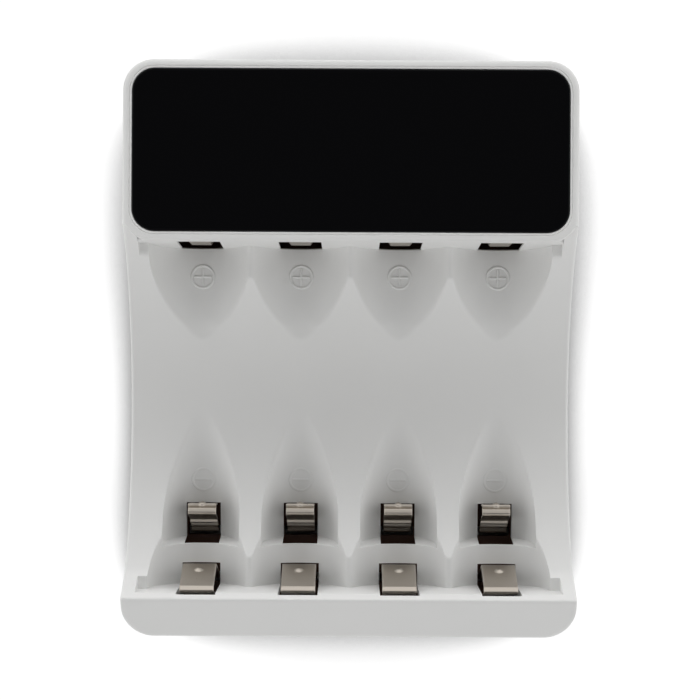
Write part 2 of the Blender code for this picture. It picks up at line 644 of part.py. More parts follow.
def build_display():
    half = (DISPLAY_HALF_WIDTH, DISPLAY_HALF_DEPTH)
    low = (-half[0], WINDOW_Y - half[1], DISPLAY_BOARD_TOP + PART_GAP)
    module = box("display_module", low, (half[0], WINDOW_Y + half[1], SEAT_Z))
    finish(module, "display_grey", DISPLAY_GREY, 0.3)
    half = (half[0] + DISPLAY_BOARD_SIDE, half[1] + DISPLAY_BOARD_END)
    low = (-half[0], WINDOW_Y - half[1], DISPLAY_BOARD_UNDERSIDE)
    board = box("display_board", low, (half[0], WINDOW_Y + half[1], DISPLAY_BOARD_TOP))
    finish(board, "display_board_green", BOARD_GREEN, 0.5)
    length = HEADER_PINS * HEADER_PITCH / 2
    depth = HEADER_PITCH / 2
    low = (-length, WINDOW_Y - depth, PART_BASE_Z)
    header = box("display_header", low, (length, WINDOW_Y + depth, PART_BASE_Z + HEADER_PITCH))
    low = PART_BASE_Z + depth
    high = DISPLAY_BOARD_UNDERSIDE - PART_GAP
    for i in range(HEADER_PINS):
        place = ((i - (HEADER_PINS - 1) / 2) * HEADER_PITCH, WINDOW_Y)
        join(header, cylinder(f"header_pin_{i + 1}", place, HEADER_PIN_RADIUS, low, high, 6))
    finish(header, "header_black", EPOXY_BLACK, 0.5)


def strip_outline(path, thickness):
    """Both sides of a bent strip: the path moved half the thickness each way, square to its run."""
    left, right = [], []
    for i, (y, z) in enumerate(path):
        before = path[max(i - 1, 0)]
        after = path[min(i + 1, len(path) - 1)]
        first = math.atan2(z - before[1], y - before[0]) if i else None
        last = math.atan2(after[1] - z, after[0] - y) if i < len(path) - 1 else None
        first = last if first is None else first
        last = first if last is None else last
        turn = (last - first + math.pi) % (2 * math.pi) - math.pi
        run = first + turn / 2
        reach = thickness / 2 / math.cos(turn / 2)
        left.append((y - math.sin(run) * reach, z + math.cos(run) * reach))
        right.append((y + math.sin(run) * reach, z - math.cos(run) * reach))
    return left + right[::-1]


def spring_leaf(name, x, root_y, path, width, dimple):
    """A strip of spring metal bent along the path, with a round dimple and its origin at its root."""
    local = [(y - root_y, z - BOARD_MIDDLE) for y, z in path]
    leaf = prism_x(name, strip_outline(local, STRIP), -width / 2, width / 2)
    leaf.location = (x, root_y, BOARD_MIDDLE)
    bm = bmesh.new()
    bmesh.ops.create_uvsphere(bm, u_segments=12, v_segments=8, radius=DIMPLE_RADIUS)
    mesh = bpy.data.meshes.new(f"{name}_dimple")
    bm.to_mesh(mesh)
    bm.free()
    bump = bpy.data.objects.new(f"{name}_dimple", mesh)
    bump.location = (x, *dimple)
    bpy.context.scene.collection.objects.link(bump)
    join(leaf, bump)
    finish(leaf, f"nickel_{name}", NICKEL, 0.3, 1.0)
    smooth(leaf, 30)


def aa_leaf_path():
    """Up from the board to the knee that meets the cell, on to the fold, and down behind the wall."""
    knee = (END_WALL_Y + AA_KNEE_REACH, AA_FLOOR_Z + AA_KNEE_HEIGHT)
    fold = (END_WALL_Y + AA_FOLD_REACH, AA_OPENING_TOP - AA_FOLD_ROOM)
    hook = (fold[0] - AA_HOOK_DEPTH, fold[1] - AA_HOOK_DROP)
    points = [(AA_ROOT_Y, TAIL_END_Z), (AA_ROOT_Y, BOARD_TOP + LEAF_RISER), knee, fold, hook]
    share = AA_DIMPLE_SHARE
    dimple = (knee[0] + (fold[0] - knee[0]) * share, knee[1] + (fold[1] - knee[1]) * share)
    return rounded_path(points, AA_BEND_RADII), dimple


def aaa_leaf_path():
    """Up from the board through the ripples, over the loop and down the face that meets the cell."""
    face_y = AAA_END_Y + AAA_FACE_FROM_END
    top = AAA_END_FLOOR_Z + AAA_LEAF_HEIGHT
    back = (face_y - AAA_LOOP_DEPTH, top - AAA_LOOP_DROP)
    foot = (AAA_ROOT_Y, BOARD_TOP + LEAF_RISER)
    run = (back[0] - foot[0], back[1] - foot[1])
    points = [(AAA_ROOT_Y, TAIL_END_Z), foot]
    for i in range(2 * RIPPLES):
        share = RIPPLE_START + RIPPLE_STEP * i
        lift = RIPPLE_RISE * (1 if i % 2 else -1) / math.hypot(*run)
        points.append((foot[0] + run[0] * share - run[1] * lift, foot[1] + run[1] * share + run[0] * lift))
    points += [back, (face_y, top), (face_y - AAA_FACE_LEAN, top - AAA_FACE_HEIGHT)]
    radii = [AAA_RISER_BEND] + [RIPPLE_BEND] * (2 * RIPPLES) + AAA_BEND_RADII
    dimple = (face_y - AAA_FACE_LEAN / 2, top - AAA_DIMPLE_DROP)
    return rounded_path(points, radii, 2), dimple


def build_leaves():
    for i, x in enumerate(BAY_X):
        path, dimple = aa_leaf_path()
        spring_leaf(f"aa_negative_contact_{i + 1}", x, AA_ROOT_Y, path, AA_LEAF_WIDTH, dimple)
        path, dimple = aaa_leaf_path()
        spring_leaf(f"aaa_negative_contact_{i + 1}", x, AAA_ROOT_Y, path, AAA_LEAF_WIDTH, dimple)


def positive_pad(name, x, rear):
    """The raised pad that stands in the opening, its front edge bevelled."""
    top = POSITIVE_OPENING_TOP - POSITIVE_PAD_ROOM
    front = HEAD_WALL_Y + POSITIVE_PAD_SETBACK
    levels = [
        (rear - POSITIVE_PLATE_THICKNESS / 2, 0.0),
        (front + POSITIVE_PAD_EDGE, POSITIVE_PAD_TAPER),
        (front, POSITIVE_PAD_TAPER + POSITIVE_PAD_EDGE),
    ]
    rings = []
    for y, inset in levels:
        low, high = top - POSITIVE_PAD_HEIGHT + inset, top - inset
        side = POSITIVE_PAD_WIDTH / 2 - inset
        rings.append([(x - side, y, low), (x + side, y, low), (x + side, y, high), (x - side, y, high)])
    return loft(name, rings)


def build_positive_contacts():
    half = POSITIVE_PLATE_WIDTH / 2
    tail = POSITIVE_TAIL_WIDTH / 2
    rear = POSITIVE_PLATE_Y + POSITIVE_PLATE_THICKNESS
    side = [
        (tail, TAIL_END_Z),
        (tail, PART_BASE_Z),
        (half, PART_BASE_Z),
        (half, POSITIVE_PLATE_TOP),
    ]
    for i, x in enumerate(BAY_X):
        outline = [(x + a, z) for a, z in side] + [(x - a, z) for a, z in reversed(side)]
        plate = prism_y(f"positive_contact_{i + 1}", outline, POSITIVE_PLATE_Y, rear)
        join(plate, positive_pad(f"positive_pad_{i + 1}", x, rear))
        finish(plate, f"nickel_positive_{i + 1}", NICKEL, 0.3, 1.0)


def build_main_board():
    inset = OUTER_WALL + PART_GAP + TONGUE_WALL + EDGE_GAP
    ends = (FRONT_Y + inset, REAR_Y - inset)
    outline = rounded_rectangle(HALF_WIDTH - inset, *ends, BOARD_CORNER, BOARD_CORNER, 3)
    board = prism_z("main_circuit_board", outline, BOARD_UNDERSIDE, BOARD_TOP)
    for i, place in enumerate(SCREW_PLACES):
        cut(board, cylinder(f"board_notch_{i + 1}", place, PILLAR_RADIUS + EDGE_GAP, 0, HEAD_TOP_Z))
    tails = [
        (AA_ROOT_Y, AA_LEAF_WIDTH),
        (AAA_ROOT_Y, AAA_LEAF_WIDTH),
        (POSITIVE_PLATE_Y + POSITIVE_PLATE_THICKNESS / 2, POSITIVE_TAIL_WIDTH),
    ]
    for i, x in enumerate(BAY_X):
        for j, (y, width) in enumerate(tails):
            half = width / 2 + EDGE_GAP
            reach = STRIP / 2 + TAIL_ROOM
            low = (x - half, y - reach, BOARD_UNDERSIDE - PAST)
            cut(board, box(f"tail_slot_{i + 1}_{j + 1}", low, (x + half, y + reach, BOARD_TOP + PAST)))
    finish(board, "board_green", BOARD_GREEN, 0.5)


def build_inlet():
    rear = REAR_Y - SOCKET_SETBACK
    front = rear - SOCKET_DEPTH
    socket = prism_y("usb_input_socket", stadium(SOCKET_WIDTH, SOCKET_HEIGHT, SOCKET_MIDDLE_Z), front, rear)
    inner = stadium(SOCKET_WIDTH - 2 * SOCKET_WALL, SOCKET_HEIGHT - 2 * SOCKET_WALL, SOCKET_MIDDLE_Z)
    cut(socket, prism_y("socket_room", inner, front + SOCKET_BACK, rear + PAST))
    half = (TONGUE_PLATE_WIDTH / 2, TONGUE_PLATE_THICKNESS / 2)
    low = (-half[0], front + TONGUE_PLATE_ROOT, SOCKET_MIDDLE_Z - half[1])
    high = (half[0], rear - TONGUE_PLATE_SETBACK, SOCKET_MIDDLE_Z + half[1])
    join(socket, box("socket_tongue", low, high))
    finish(socket, "socket_steel", STEEL, 0.3, 1.0)


def board_part(name, place, size, colour):
    """A rectangular component that stands on the main board."""
    half = (size[0] / 2, size[1] / 2)
    low = (place[0] - half[0], place[1] - half[1], PART_BASE_Z)
    part = box(name, low, (place[0] + half[0], place[1] + half[1], PART_BASE_Z + size[2]))
    finish(part, f"{name}_finish", colour, 0.45)


def build_board_parts():
    chip = (CHIP_SIDE, CHIP_SIDE, CHIP_HEIGHT)
    board_part("charge_controller_chip", (CHIP_X, PART_ROW_Y), chip, EPOXY_BLACK)
    inductor = (INDUCTOR_SIDE, INDUCTOR_SIDE, INDUCTOR_HEIGHT)
    board_part("power_inductor", (INDUCTOR_X, PART_ROW_Y), inductor, FERRITE)
    for i, x in enumerate(CAPACITOR_X):
        top = PART_BASE_Z + CAPACITOR_HEIGHT
        place = (x, PART_ROW_Y)
        can = cylinder(f"filter_capacitor_{i + 1}", place, CAPACITOR_RADIUS, PART_BASE_Z, top, 20)
        finish(can, f"capacitor_can_{i + 1}", ALUMINIUM, 0.3, 1.0)
        smooth(can)
    for i, x in enumerate(BAY_X):
        place = (x, POSITIVE_PLATE_Y + TRANSISTOR_SETBACK)
        board_part(f"charge_transistor_{i + 1}", place, TRANSISTOR_SIZE, EPOXY_BLACK)


def build_screws_and_feet():
    seat = FOOT_DROP + SCREW_SEAT_DEPTH - PART_GAP
    low = seat - SCREW_HEAD_HEIGHT
    shank_low = seat - SCREW_HEAD_HEIGHT / 2
    for i, place in enumerate(SCREW_PLACES):
        screw = cylinder(f"housing_screw_{i + 1}", place, SCREW_HEAD_RADIUS, low, seat, 20)
        join(screw, cylinder(f"shank_{i + 1}", place, SCREW_RADIUS, shank_low, seat + SCREW_LENGTH, 12))
        finish(screw, f"screw_steel_{i + 1}", STEEL, 0.35, 1.0)
    for i, place in enumerate(FOOT_PLACES):
        top = FOOT_DROP + FOOT_SEAT_DEPTH - PART_GAP
        rings = []
        for z, radius in ((0, FOOT_RADIUS - FOOT_EDGE), (FOOT_EDGE, FOOT_RADIUS), (top, FOOT_RADIUS)):
            rings.append([(x, y, z) for x, y in arc(place, radius, 0, 360 * 31 / 32, 31)])
        foot = loft(f"rubber_foot_{i + 1}", rings)
        finish(foot, f"foot_rubber_{i + 1}", RUBBER_GREY, 0.8)
        smooth(foot)


def main():
    clear_scene()
    build_upper_housing()
    build_lower_housing()
    build_window()
    build_display()
    build_main_board()
    build_leaves()
    build_positive_contacts()
    build_inlet()
    build_board_parts()
    build_screws_and_feet()


main()
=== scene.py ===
# %% [markdown]
# # Four-bay charger for AA and AAA cells
# The CAD part gives every real shape and size. This script adds what the part leaves plain: the casing as
# one fine surface with soft edges, the raised polarity marks, the bent contacts, the finishes and the studio.
# Lengths below are in millimetres until a mesh is made. The frame is the part's own: +Z up, +Y to the head.

import math

import bmesh
import bpy
import numpy as np
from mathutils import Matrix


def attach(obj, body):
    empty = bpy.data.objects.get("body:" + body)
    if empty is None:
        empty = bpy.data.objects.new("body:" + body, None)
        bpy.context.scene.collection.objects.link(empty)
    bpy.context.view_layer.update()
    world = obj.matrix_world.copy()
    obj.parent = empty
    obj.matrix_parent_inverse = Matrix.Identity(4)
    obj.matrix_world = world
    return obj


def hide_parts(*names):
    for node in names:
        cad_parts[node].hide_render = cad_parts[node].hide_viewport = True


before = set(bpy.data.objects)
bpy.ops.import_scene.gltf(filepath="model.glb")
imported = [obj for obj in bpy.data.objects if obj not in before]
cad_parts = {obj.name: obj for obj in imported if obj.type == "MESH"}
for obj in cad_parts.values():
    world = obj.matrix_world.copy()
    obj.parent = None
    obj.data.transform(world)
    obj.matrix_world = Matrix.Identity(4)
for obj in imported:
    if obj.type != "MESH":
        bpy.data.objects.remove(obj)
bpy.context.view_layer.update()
MM = 0.001
print("CAD nodes:", len(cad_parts))

# %% [markdown]
# ## Sizes
# They repeat the part's own values, so that each fine surface lies where the CAD solid has it. Only the
# blends and the step in the thin troughs are the scene's own: behind the valley the thin trough runs a
# little higher, and so leaves the outline of the wide trough clean.

# %% Sizes in millimetres
# Outline and sides
HALF_WIDTH = 34.1
FRONT_Y = -43.3
REAR_Y = 43.3
FRONT_CORNER = 4.7
REAR_CORNER = 4.6
SIDE_DRAFT = 0.01
DRAFT_DEPTH = 2.0
SPLIT_TOP = 3.75

# Head and its front wall
HEAD_TOP = 27.0
HEAD_FACE_Y = 16.4
HEAD_WALL_Y = 15.6
HEAD_CORNER_X = 30.0
HEAD_CORNER_Y = 20.5
HEAD_FRONT_CORNER = 4.1
HEAD_CORNER_REACH = 3.585
LINTEL_Z = 23.9
LINTEL_ROUND = 0.15
HEAD_LEAN = 0.8 / 13.5

# End wall, crest, lip and valley
END_LEAN = 0.1 / 13.5
END_WALL_Y = -36.4
CREST_Y = -37.25
CREST_Z = 27.1
RISE_SLOPE = 2.0
LIP_SLOPE = 4.0 / 6.05
LIP_START_Y = -30.0
VALLEY_Y = -10.4
VALLEY_FLOOR = 10.9
VALLEY_RADIUS = 34.0

# Wide and thin troughs, and the shelf beside them
BAYS = [-22.95, -7.65, 7.65, 22.95]
AA_RADIUS = 7.65
AA_FLOOR = 13.5
AA_AXIS = 21.15
RIDGE_FILLET = 0.7
SHELF_Z = 21.5
CRADLE_HALF = 30.6
POCKET_HALF = 32.05
AAA_RADIUS = 5.95
AAA_TILT = math.radians(7.5)
AAA_END_Y = -29.45
AAA_END_FLOOR = 8.3
AAA_STEP_Y = -5.5
AAA_STEP = 0.7
NO_CUT = 90.0

# Blends where cuts cross, and fillets along the edges
AAA_BLEND = 0.1
TRAY_BLEND = 0.08
CREST_BLEND = 0.5
TOP_BLEND = 0.25
HEAD_FILLET = 0.8
TRAY_FILLET = 0.45
FACE_FILLET = 0.3
REAR_BLEND_Y = 10.0
HEAD_BLEND_Y = 17.0

# Walls, and the openings for the contacts
WALL = 1.4
END_WALL = 1.0
REAR_WALL = 1.6
LINING = 0.3
SILL_LINING = 0.2
POSITIVE_HALF = 3.25
POSITIVE_TOP = 23.7
NOTCH_HALF = 2.975
NOTCH_Y = -33.15
NOTCH_TOP_Y = -36.69
SLOT_HALF = 2.7
SLOT_REAR_Y = -24.15
SLOT_FRONT_Y = -30.25

# Window with its seat, and the charging inlet
WINDOW_HALF = 32.65
WINDOW_FRONT = 17.6
WINDOW_REAR = 41.9
WINDOW_CORNER = 3.4
WINDOW_GAP = 0.07
WINDOW_UNDERSIDE = 25.7
SEAT_Z = 25.4
INLET_Z = 6.5
INLET_FLAT_HALF = 2.85
INLET_RADIUS = 1.9

# %% [markdown]
# ## Mesh helpers
# Every fine surface is an array of points and an array of faces, written to the mesh in one go.


# %% Mesh helpers
def grid_faces(rows, columns, closed=False):
    """Faces of a grid of points, row after row. A closed grid joins its last column to its first."""
    index = np.arange(rows * columns).reshape(rows, columns)
    if closed:
        index = np.concatenate([index, index[:, :1]], axis=1)
    corners = [index[:-1, :-1], index[1:, :-1], index[1:, 1:], index[:-1, 1:]]
    return np.stack(corners, axis=-1).reshape(-1, 4)


def join_parts(parts):
    """Puts several (points, faces) pairs into one, with the face numbers moved on."""
    start = 0
    points, faces = [], []
    for part_points, part_faces in parts:
        part_points = part_points.reshape(-1, 3)
        points.append(part_points)
        faces.append(part_faces + start)
        start += len(part_points)
    return np.concatenate(points), np.concatenate(faces)


def make_mesh(name, points, faces, angle=35.0, merge=0.002):
    """A piece of points in millimetres and quads, with equal points merged, smooth up to an angle."""
    mesh = bpy.data.meshes.new(name)
    mesh.vertices.add(len(points))
    mesh.vertices.foreach_set("co", (np.asarray(points, np.float64) * MM).ravel())
    mesh.loops.add(faces.size)
    mesh.loops.foreach_set("vertex_index", faces.ravel())
    mesh.polygons.add(len(faces))
    mesh.polygons.foreach_set("loop_start", np.arange(0, faces.size, faces.shape[1]))
    mesh.update(calc_edges=True)
    bm = bmesh.new()
    bm.from_mesh(mesh)
    bmesh.ops.remove_doubles(bm, verts=bm.verts, dist=merge * MM)
    bmesh.ops.dissolve_degenerate(bm, edges=bm.edges, dist=merge * MM)
    bm.to_mesh(mesh)
    bm.free()
    mesh.shade_smooth()
    mesh.set_sharp_from_angle(angle=math.radians(angle))
    obj = bpy.data.objects.new(name, mesh)
    bpy.context.scene.collection.objects.link(obj)
    return obj


def with_exact(values, exact, room):
    """Sorted values that hold each exact one, less those that come too near to one."""
    values = np.asarray(values, float)
    exact = np.asarray(exact, float)
    near = np.abs(values[:, None] - exact[None, :]).min(axis=1) < room
    return np.unique(np.concatenate([values[~near], exact]).round(6))


def smooth_min(a, b, width):
    """The lower of two heights, with the corner where they cross rounded off over a blend width."""
    share = np.maximum(width - np.abs(a - b), 0) / width
    return np.minimum(a, b) - share * share * width / 4


def smooth_max(a, b, width):
    """The higher of two heights, with the corner where they cross filled over a blend width."""
    return -smooth_min(-a, -b, width)


# %% [markdown]
# ## Finishes
# Each finish is procedural and works on object coordinates. A fine grain roughens the surface, and a slow
# noise shifts the colour by a few hundredths.


# %% Finishes
SLOW_GRAIN = 30
DARKER = 0.97


def finish(name, colour, roughness, metallic=0.0, grain=3000.0, relief=0.02, spread=0.05, specular=0.5):
    """A Principled material: a fine noise drives the bump and the roughness, a slow one the colour."""
    material = bpy.data.materials.new(name)
    material.use_nodes = True
    tree = material.node_tree
    shader = tree.nodes["Principled BSDF"]
    shader.inputs["Metallic"].default_value = metallic
    shader.inputs["Specular IOR Level"].default_value = specular
    place = tree.nodes.new("ShaderNodeTexCoord")
    fine = tree.nodes.new("ShaderNodeTexNoise")
    fine.inputs["Scale"].default_value = grain
    fine.inputs["Detail"].default_value = 3.0
    slow = tree.nodes.new("ShaderNodeTexNoise")
    slow.inputs["Scale"].default_value = grain / SLOW_GRAIN
    slow.inputs["Detail"].default_value = 2.0
    rough = tree.nodes.new("ShaderNodeMapRange")
    rough.inputs["To Min"].default_value = roughness - spread
    rough.inputs["To Max"].default_value = roughness + spread
    tint = tree.nodes.new("ShaderNodeMix")
    tint.data_type = "RGBA"
    tint.inputs["A"].default_value = (*[c * DARKER for c in colour], 1.0)
    tint.inputs["B"].default_value = (*colour, 1.0)
    bump = tree.nodes.new("ShaderNodeBump")
    bump.inputs["Strength"].default_value = 0.5
    bump.inputs["Distance"].default_value = relief * MM
    links = tree.links
    links.new(place.outputs["Object"], fine.inputs["Vector"])
    links.new(place.outputs["Object"], slow.inputs["Vector"])
    links.new(fine.outputs["Fac"], rough.inputs["Value"])
    links.new(rough.outputs["Result"], shader.inputs["Roughness"])
    links.new(slow.outputs["Fac"], tint.inputs["Factor"])
    links.new(tint.outputs["Result"], shader.inputs["Base Color"])
    links.new(fine.outputs["Fac"], bump.inputs["Height"])
    links.new(bump.outputs["Normal"], shader.inputs["Normal"])
    return material


WHITE_PLASTIC = finish("white_plastic", (0.80, 0.80, 0.79), 0.5, relief=0.006)
BLACK_WINDOW = finish("black_window", (0.003, 0.003, 0.0035), 0.06, relief=0.0003, spread=0.01, specular=0.2)
NICKEL = finish("nickel_strip", (0.55, 0.50, 0.44), 0.3, metallic=1.0, relief=0.004)
STEEL = finish("fastener_steel", (0.50, 0.50, 0.50), 0.35, metallic=1.0, relief=0.004)
BOARD = finish("circuit_board", (0.09, 0.035, 0.02), 0.5, relief=0.01)
BLACK_PART = finish("component_black", (0.02, 0.02, 0.02), 0.45, relief=0.01)
RUBBER = finish("foot_rubber", (0.10, 0.10, 0.10), 0.8, relief=0.03)
print("finishes:", len(bpy.data.materials))

# %% [markdown]
# ## Casing heights
# The tray is a height over each point of the plan. Along its length it is a sunk arc, a steep rise to the
# crest and a sloping lip. Across it there are four round troughs with a tilted, narrower trough sunk into
# each. The surface is the lowest of these cuts.


# %% Casing heights
def outline_distance(x, y):
    """Distance inwards from the rounded outline, and the outward direction there."""
    corner = np.where(y < 0, FRONT_CORNER, REAR_CORNER)
    inner_x = np.clip(x, corner - HALF_WIDTH, HALF_WIDTH - corner)
    inner_y = np.clip(y, FRONT_Y + corner, REAR_Y - corner)
    away_x, away_y = x - inner_x, y - inner_y
    away = np.hypot(away_x, away_y)
    safe = np.maximum(away, 1e-9)
    return corner - away, away_x / safe, away_y / safe


def edge_drop(x, y):
    """How far a quarter-round edge sinks the surface near the outline. Its radius is larger at the head."""
    radius = np.interp(y, [REAR_BLEND_Y, HEAD_BLEND_Y], [TRAY_FILLET, HEAD_FILLET])
    distance = np.clip(outline_distance(x, y)[0], 0, radius)
    return radius - np.sqrt(radius ** 2 - (radius - distance) ** 2)


def with_draft(points):
    """Moves the side outwards by a hundredth of its depth under the top, as a mould's draft does."""
    x, y, z = points.T
    distance, out_x, out_y = outline_distance(x, y)
    weight = np.clip(1 - distance / DRAFT_DEPTH, 0, 1)
    grow = SIDE_DRAFT * (HEAD_TOP - z) * weight
    return np.stack([x + out_x * grow, y + out_y * grow, z], axis=1)


def tray_profile(y):
    """Height of the tray along the casing: arc, steep rise, crest and lip, each corner rounded."""
    arc = VALLEY_FLOOR + VALLEY_RADIUS - np.sqrt(np.maximum(VALLEY_RADIUS ** 2 - (y - VALLEY_Y) ** 2, 1.0))
    rise = CREST_Z - RISE_SLOPE * (y - CREST_Y)
    lip = CREST_Z + LIP_SLOPE * (y - CREST_Y)
    body = smooth_max(arc, rise, CREST_BLEND)
    front = smooth_min(body, lip, CREST_BLEND)
    shape = np.where(y < LIP_START_Y, front, body)
    return smooth_min(shape, HEAD_TOP, TOP_BLEND)


def trough_floor(x):
    """Height across the bays: a circle in each, a small round on each ridge, and the shelf at the sides."""
    offset = np.abs(x[..., None] - np.array(BAYS)).min(axis=-1)
    circle = AA_AXIS - np.sqrt(np.maximum(AA_RADIUS ** 2 - offset ** 2, 0))
    drop = math.sqrt((AA_RADIUS + RIDGE_FILLET) ** 2 - AA_RADIUS ** 2)
    tangent = AA_RADIUS * AA_RADIUS / (AA_RADIUS + RIDGE_FILLET)
    aside = np.minimum(AA_RADIUS - offset, RIDGE_FILLET)
    ridge = AA_AXIS - drop + np.sqrt(np.maximum(RIDGE_FILLET ** 2 - aside ** 2, 0))
    between = (offset > tangent) & (np.abs(x) < CRADLE_HALF - AA_RADIUS)
    floor = np.where(between, ridge, circle)
    return np.where(np.abs(x) > CRADLE_HALF + 1e-6, SHELF_Z, floor)


def thin_trough(x, y):
    """Height of the tilted trough: a sloping half-round, closed at the low end by a face square to it, and
    a step higher behind the valley."""
    offset = np.abs(x[..., None] - np.array(BAYS)).min(axis=-1)
    inside = offset < AAA_RADIUS + 1e-4
    round_part = AAA_RADIUS - np.sqrt(np.maximum(AAA_RADIUS ** 2 - offset ** 2, 0))
    sloping = AAA_END_FLOOR + (y - AAA_END_Y) * math.tan(AAA_TILT) + round_part / math.cos(AAA_TILT)
    end_face = AAA_END_FLOOR - (y - AAA_END_Y) / math.tan(AAA_TILT)
    rear = np.where(y > AAA_STEP_Y, AAA_STEP, 0.0)
    return np.where(inside, np.maximum(sloping + rear, end_face), NO_CUT)


def pocket_floor(x, y):
    """The lowest of the three cuts, with soft edges where they cross."""
    troughs = smooth_min(trough_floor(x), thin_trough(x, y), AAA_BLEND)
    return smooth_min(troughs, tray_profile(y), TRAY_BLEND)


# %% [markdown]
# ## Casing grid
# Columns run along the casing at chosen widths and rows follow the surface from the head's face over the
# floor and the end wall to the front edge. A column is doubled where the surface steps. Up to 66.4 degrees of
# turn a bay's columns are even, and the outermost flanks have finer ones of their own.


# %% Casing grid
STEEP_TURN = 66.4
FLANK = 7.02
COLUMN_STEP = 0.0025


def bay_columns():
    """Widths across one bay, closer together towards its steep sides. The openings' edges, the thin trough's
    two edges and the round on the ridge each have columns of their own."""
    turn = np.radians(np.linspace(-STEEP_TURN, STEEP_TURN, 43))
    base = AA_RADIUS * np.sin(turn)
    ridge = [7.009, 7.16, 7.32, 7.48, AA_RADIUS]
    edges = [SLOT_HALF, NOTCH_HALF, POSITIVE_HALF, 5.6, 5.8, 5.9, AAA_RADIUS, AAA_RADIUS + COLUMN_STEP]
    exact = [side * value for side in (-1, 1) for value in edges + ridge]
    return with_exact(base, exact, 0.1)


def column_widths():
    """All columns from left to right, with a mark for those that lie outside the pocket."""
    bays = np.concatenate([bay_columns() + x for x in BAYS])
    turn = np.radians(np.linspace(STEEP_TURN, 90, 9))
    steep = BAYS[-1] + AA_RADIUS * np.sin(turn[1:])
    outer = HALF_WIDTH - FRONT_CORNER + FRONT_CORNER * np.sin(np.radians(np.linspace(0, 90, 31)))
    outer = with_exact(outer[outer > POCKET_HALF + 0.03], [HEAD_CORNER_X + HEAD_CORNER_REACH], 0.03)
    shelf = np.array([CRADLE_HALF + 0.004, 31.0, 31.5, POCKET_HALF])
    right = np.concatenate([steep, shelf])
    inner = bays[np.abs(bays) < BAYS[-1] + FLANK]
    inner = np.unique(np.concatenate([inner, right, -right]).round(6))
    side = np.concatenate([[POCKET_HALF], outer])
    widths = np.concatenate([-side[::-1], inner, side])
    outside = np.ones(len(widths), bool)
    outside[len(side):-len(side)] = False
    return widths, outside


widths, outside = column_widths()
reach = np.abs(widths)
corner_turn = np.clip(reach - HEAD_CORNER_X, 0, HEAD_CORNER_REACH)
head_edge_y = HEAD_CORNER_Y - np.sqrt(HEAD_FRONT_CORNER ** 2 - corner_turn ** 2)
front_turn = np.clip(reach - (HALF_WIDTH - FRONT_CORNER), 0, FRONT_CORNER)
front_edge_y = FRONT_Y + FRONT_CORNER - np.sqrt(FRONT_CORNER ** 2 - front_turn ** 2)

wall_levels = [HEAD_TOP - FACE_FILLET, 26.0, 25.0, 24.15, 24.05, 23.95, 23.85, POSITIVE_TOP]
wall_shares = np.linspace(0, 1, 10)[1:]
floor_ys = np.concatenate([np.linspace(HEAD_WALL_Y, -29.0, 136)[1:], np.linspace(-29.1, -30.9, 19)])
floor_ys = np.concatenate([floor_ys, np.linspace(-31.1, END_WALL_Y, 20)])
floor_ys = with_exact(floor_ys, [SLOT_REAR_Y, SLOT_FRONT_Y, NOTCH_Y], 0.04)[::-1]
crest_ys = [-36.5, -36.6, NOTCH_TOP_Y, -36.8, -36.9, -37.0, -37.1, -37.2, -37.3, -37.4, -37.5]
crest_ys = np.array(crest_ys + [-37.65, -37.8, -38.0])
lip_end = 1 - 0.15 * (1 - np.sin(np.radians(np.linspace(12, 90, 9))))
lip_shares = np.concatenate([np.linspace(0, 0.84, 12)[1:], lip_end])

ledge = tray_profile(head_edge_y)
foot = np.where(outside, ledge, pocket_floor(widths, np.full_like(widths, HEAD_WALL_Y)))
rows = []
for level in wall_levels:
    z = np.maximum(level, foot)
    lean = HEAD_WALL_Y + HEAD_LEAN * (z - AA_FLOOR)
    step = np.clip((z - LINTEL_Z) / LINTEL_ROUND, 0, 1) * (head_edge_y - HEAD_FACE_Y)
    rows.append((np.where(outside, head_edge_y, lean + step), z))
for share in wall_shares:
    z = rows[len(wall_levels) - 1][1] * (1 - share) + foot * share
    lean = HEAD_WALL_Y + HEAD_LEAN * (z - AA_FLOOR)
    rows.append((np.where(outside, head_edge_y, lean), z))
floor_start = len(rows)
start_y = rows[-1][0]
for y0 in floor_ys:
    pull = min(max((y0 - REAR_BLEND_Y) / (HEAD_WALL_Y - REAR_BLEND_Y), 0), 1) ** 2
    y = y0 + (start_y - HEAD_WALL_Y) * pull
    rows.append((y, np.where(outside, tray_profile(y), pocket_floor(widths, y))))
end_start = len(rows)
end_top = tray_profile(np.full_like(widths, END_WALL_Y))
for share in np.linspace(0, 1, 9)[1:]:
    z = rows[end_start - 1][1] * (1 - share) + end_top * share
    rows.append((np.where(outside, END_WALL_Y, END_WALL_Y - END_LEAN * (z - AA_FLOOR)), z))
crest_start = len(rows)
for y0 in crest_ys:
    y = np.full_like(widths, y0)
    rows.append((y, tray_profile(y)))
for share in lip_shares:
    y = crest_ys[-1] + (front_edge_y - crest_ys[-1]) * share
    rows.append((y, tray_profile(y)))

tray_y = np.array([row[0] for row in rows])
tray_z = np.array([row[1] for row in rows])
tray_x = np.broadcast_to(widths, tray_y.shape)
tray_z = tray_z - edge_drop(tray_x, tray_y)
tray = np.stack([tray_x, tray_y, tray_z], axis=-1)
print("tray grid:", tray.shape)

# %% [markdown]
# ## Openings
# Cells of the grid inside each contact opening are left out, and a band lines its edge. It is as deep as the
# wall in the floor and in the end wall. At the head it is a thin edge, and its sill falls away steeply.


# %% Openings
def band(loop, moved):
    """A strip of faces between a closed loop of points and the same loop moved, facing the loop's middle."""
    points = np.stack([loop, moved])
    faces = grid_faces(2, len(loop), closed=True)
    flat = points.reshape(-1, 3)
    corners = flat[faces]
    normal = np.cross(corners[:, 2] - corners[:, 0], corners[:, 3] - corners[:, 1])
    inwards = loop.mean(axis=0) - corners.mean(axis=1)
    if (normal * inwards).sum() < 0:
        faces = faces[:, ::-1]
    return flat, faces


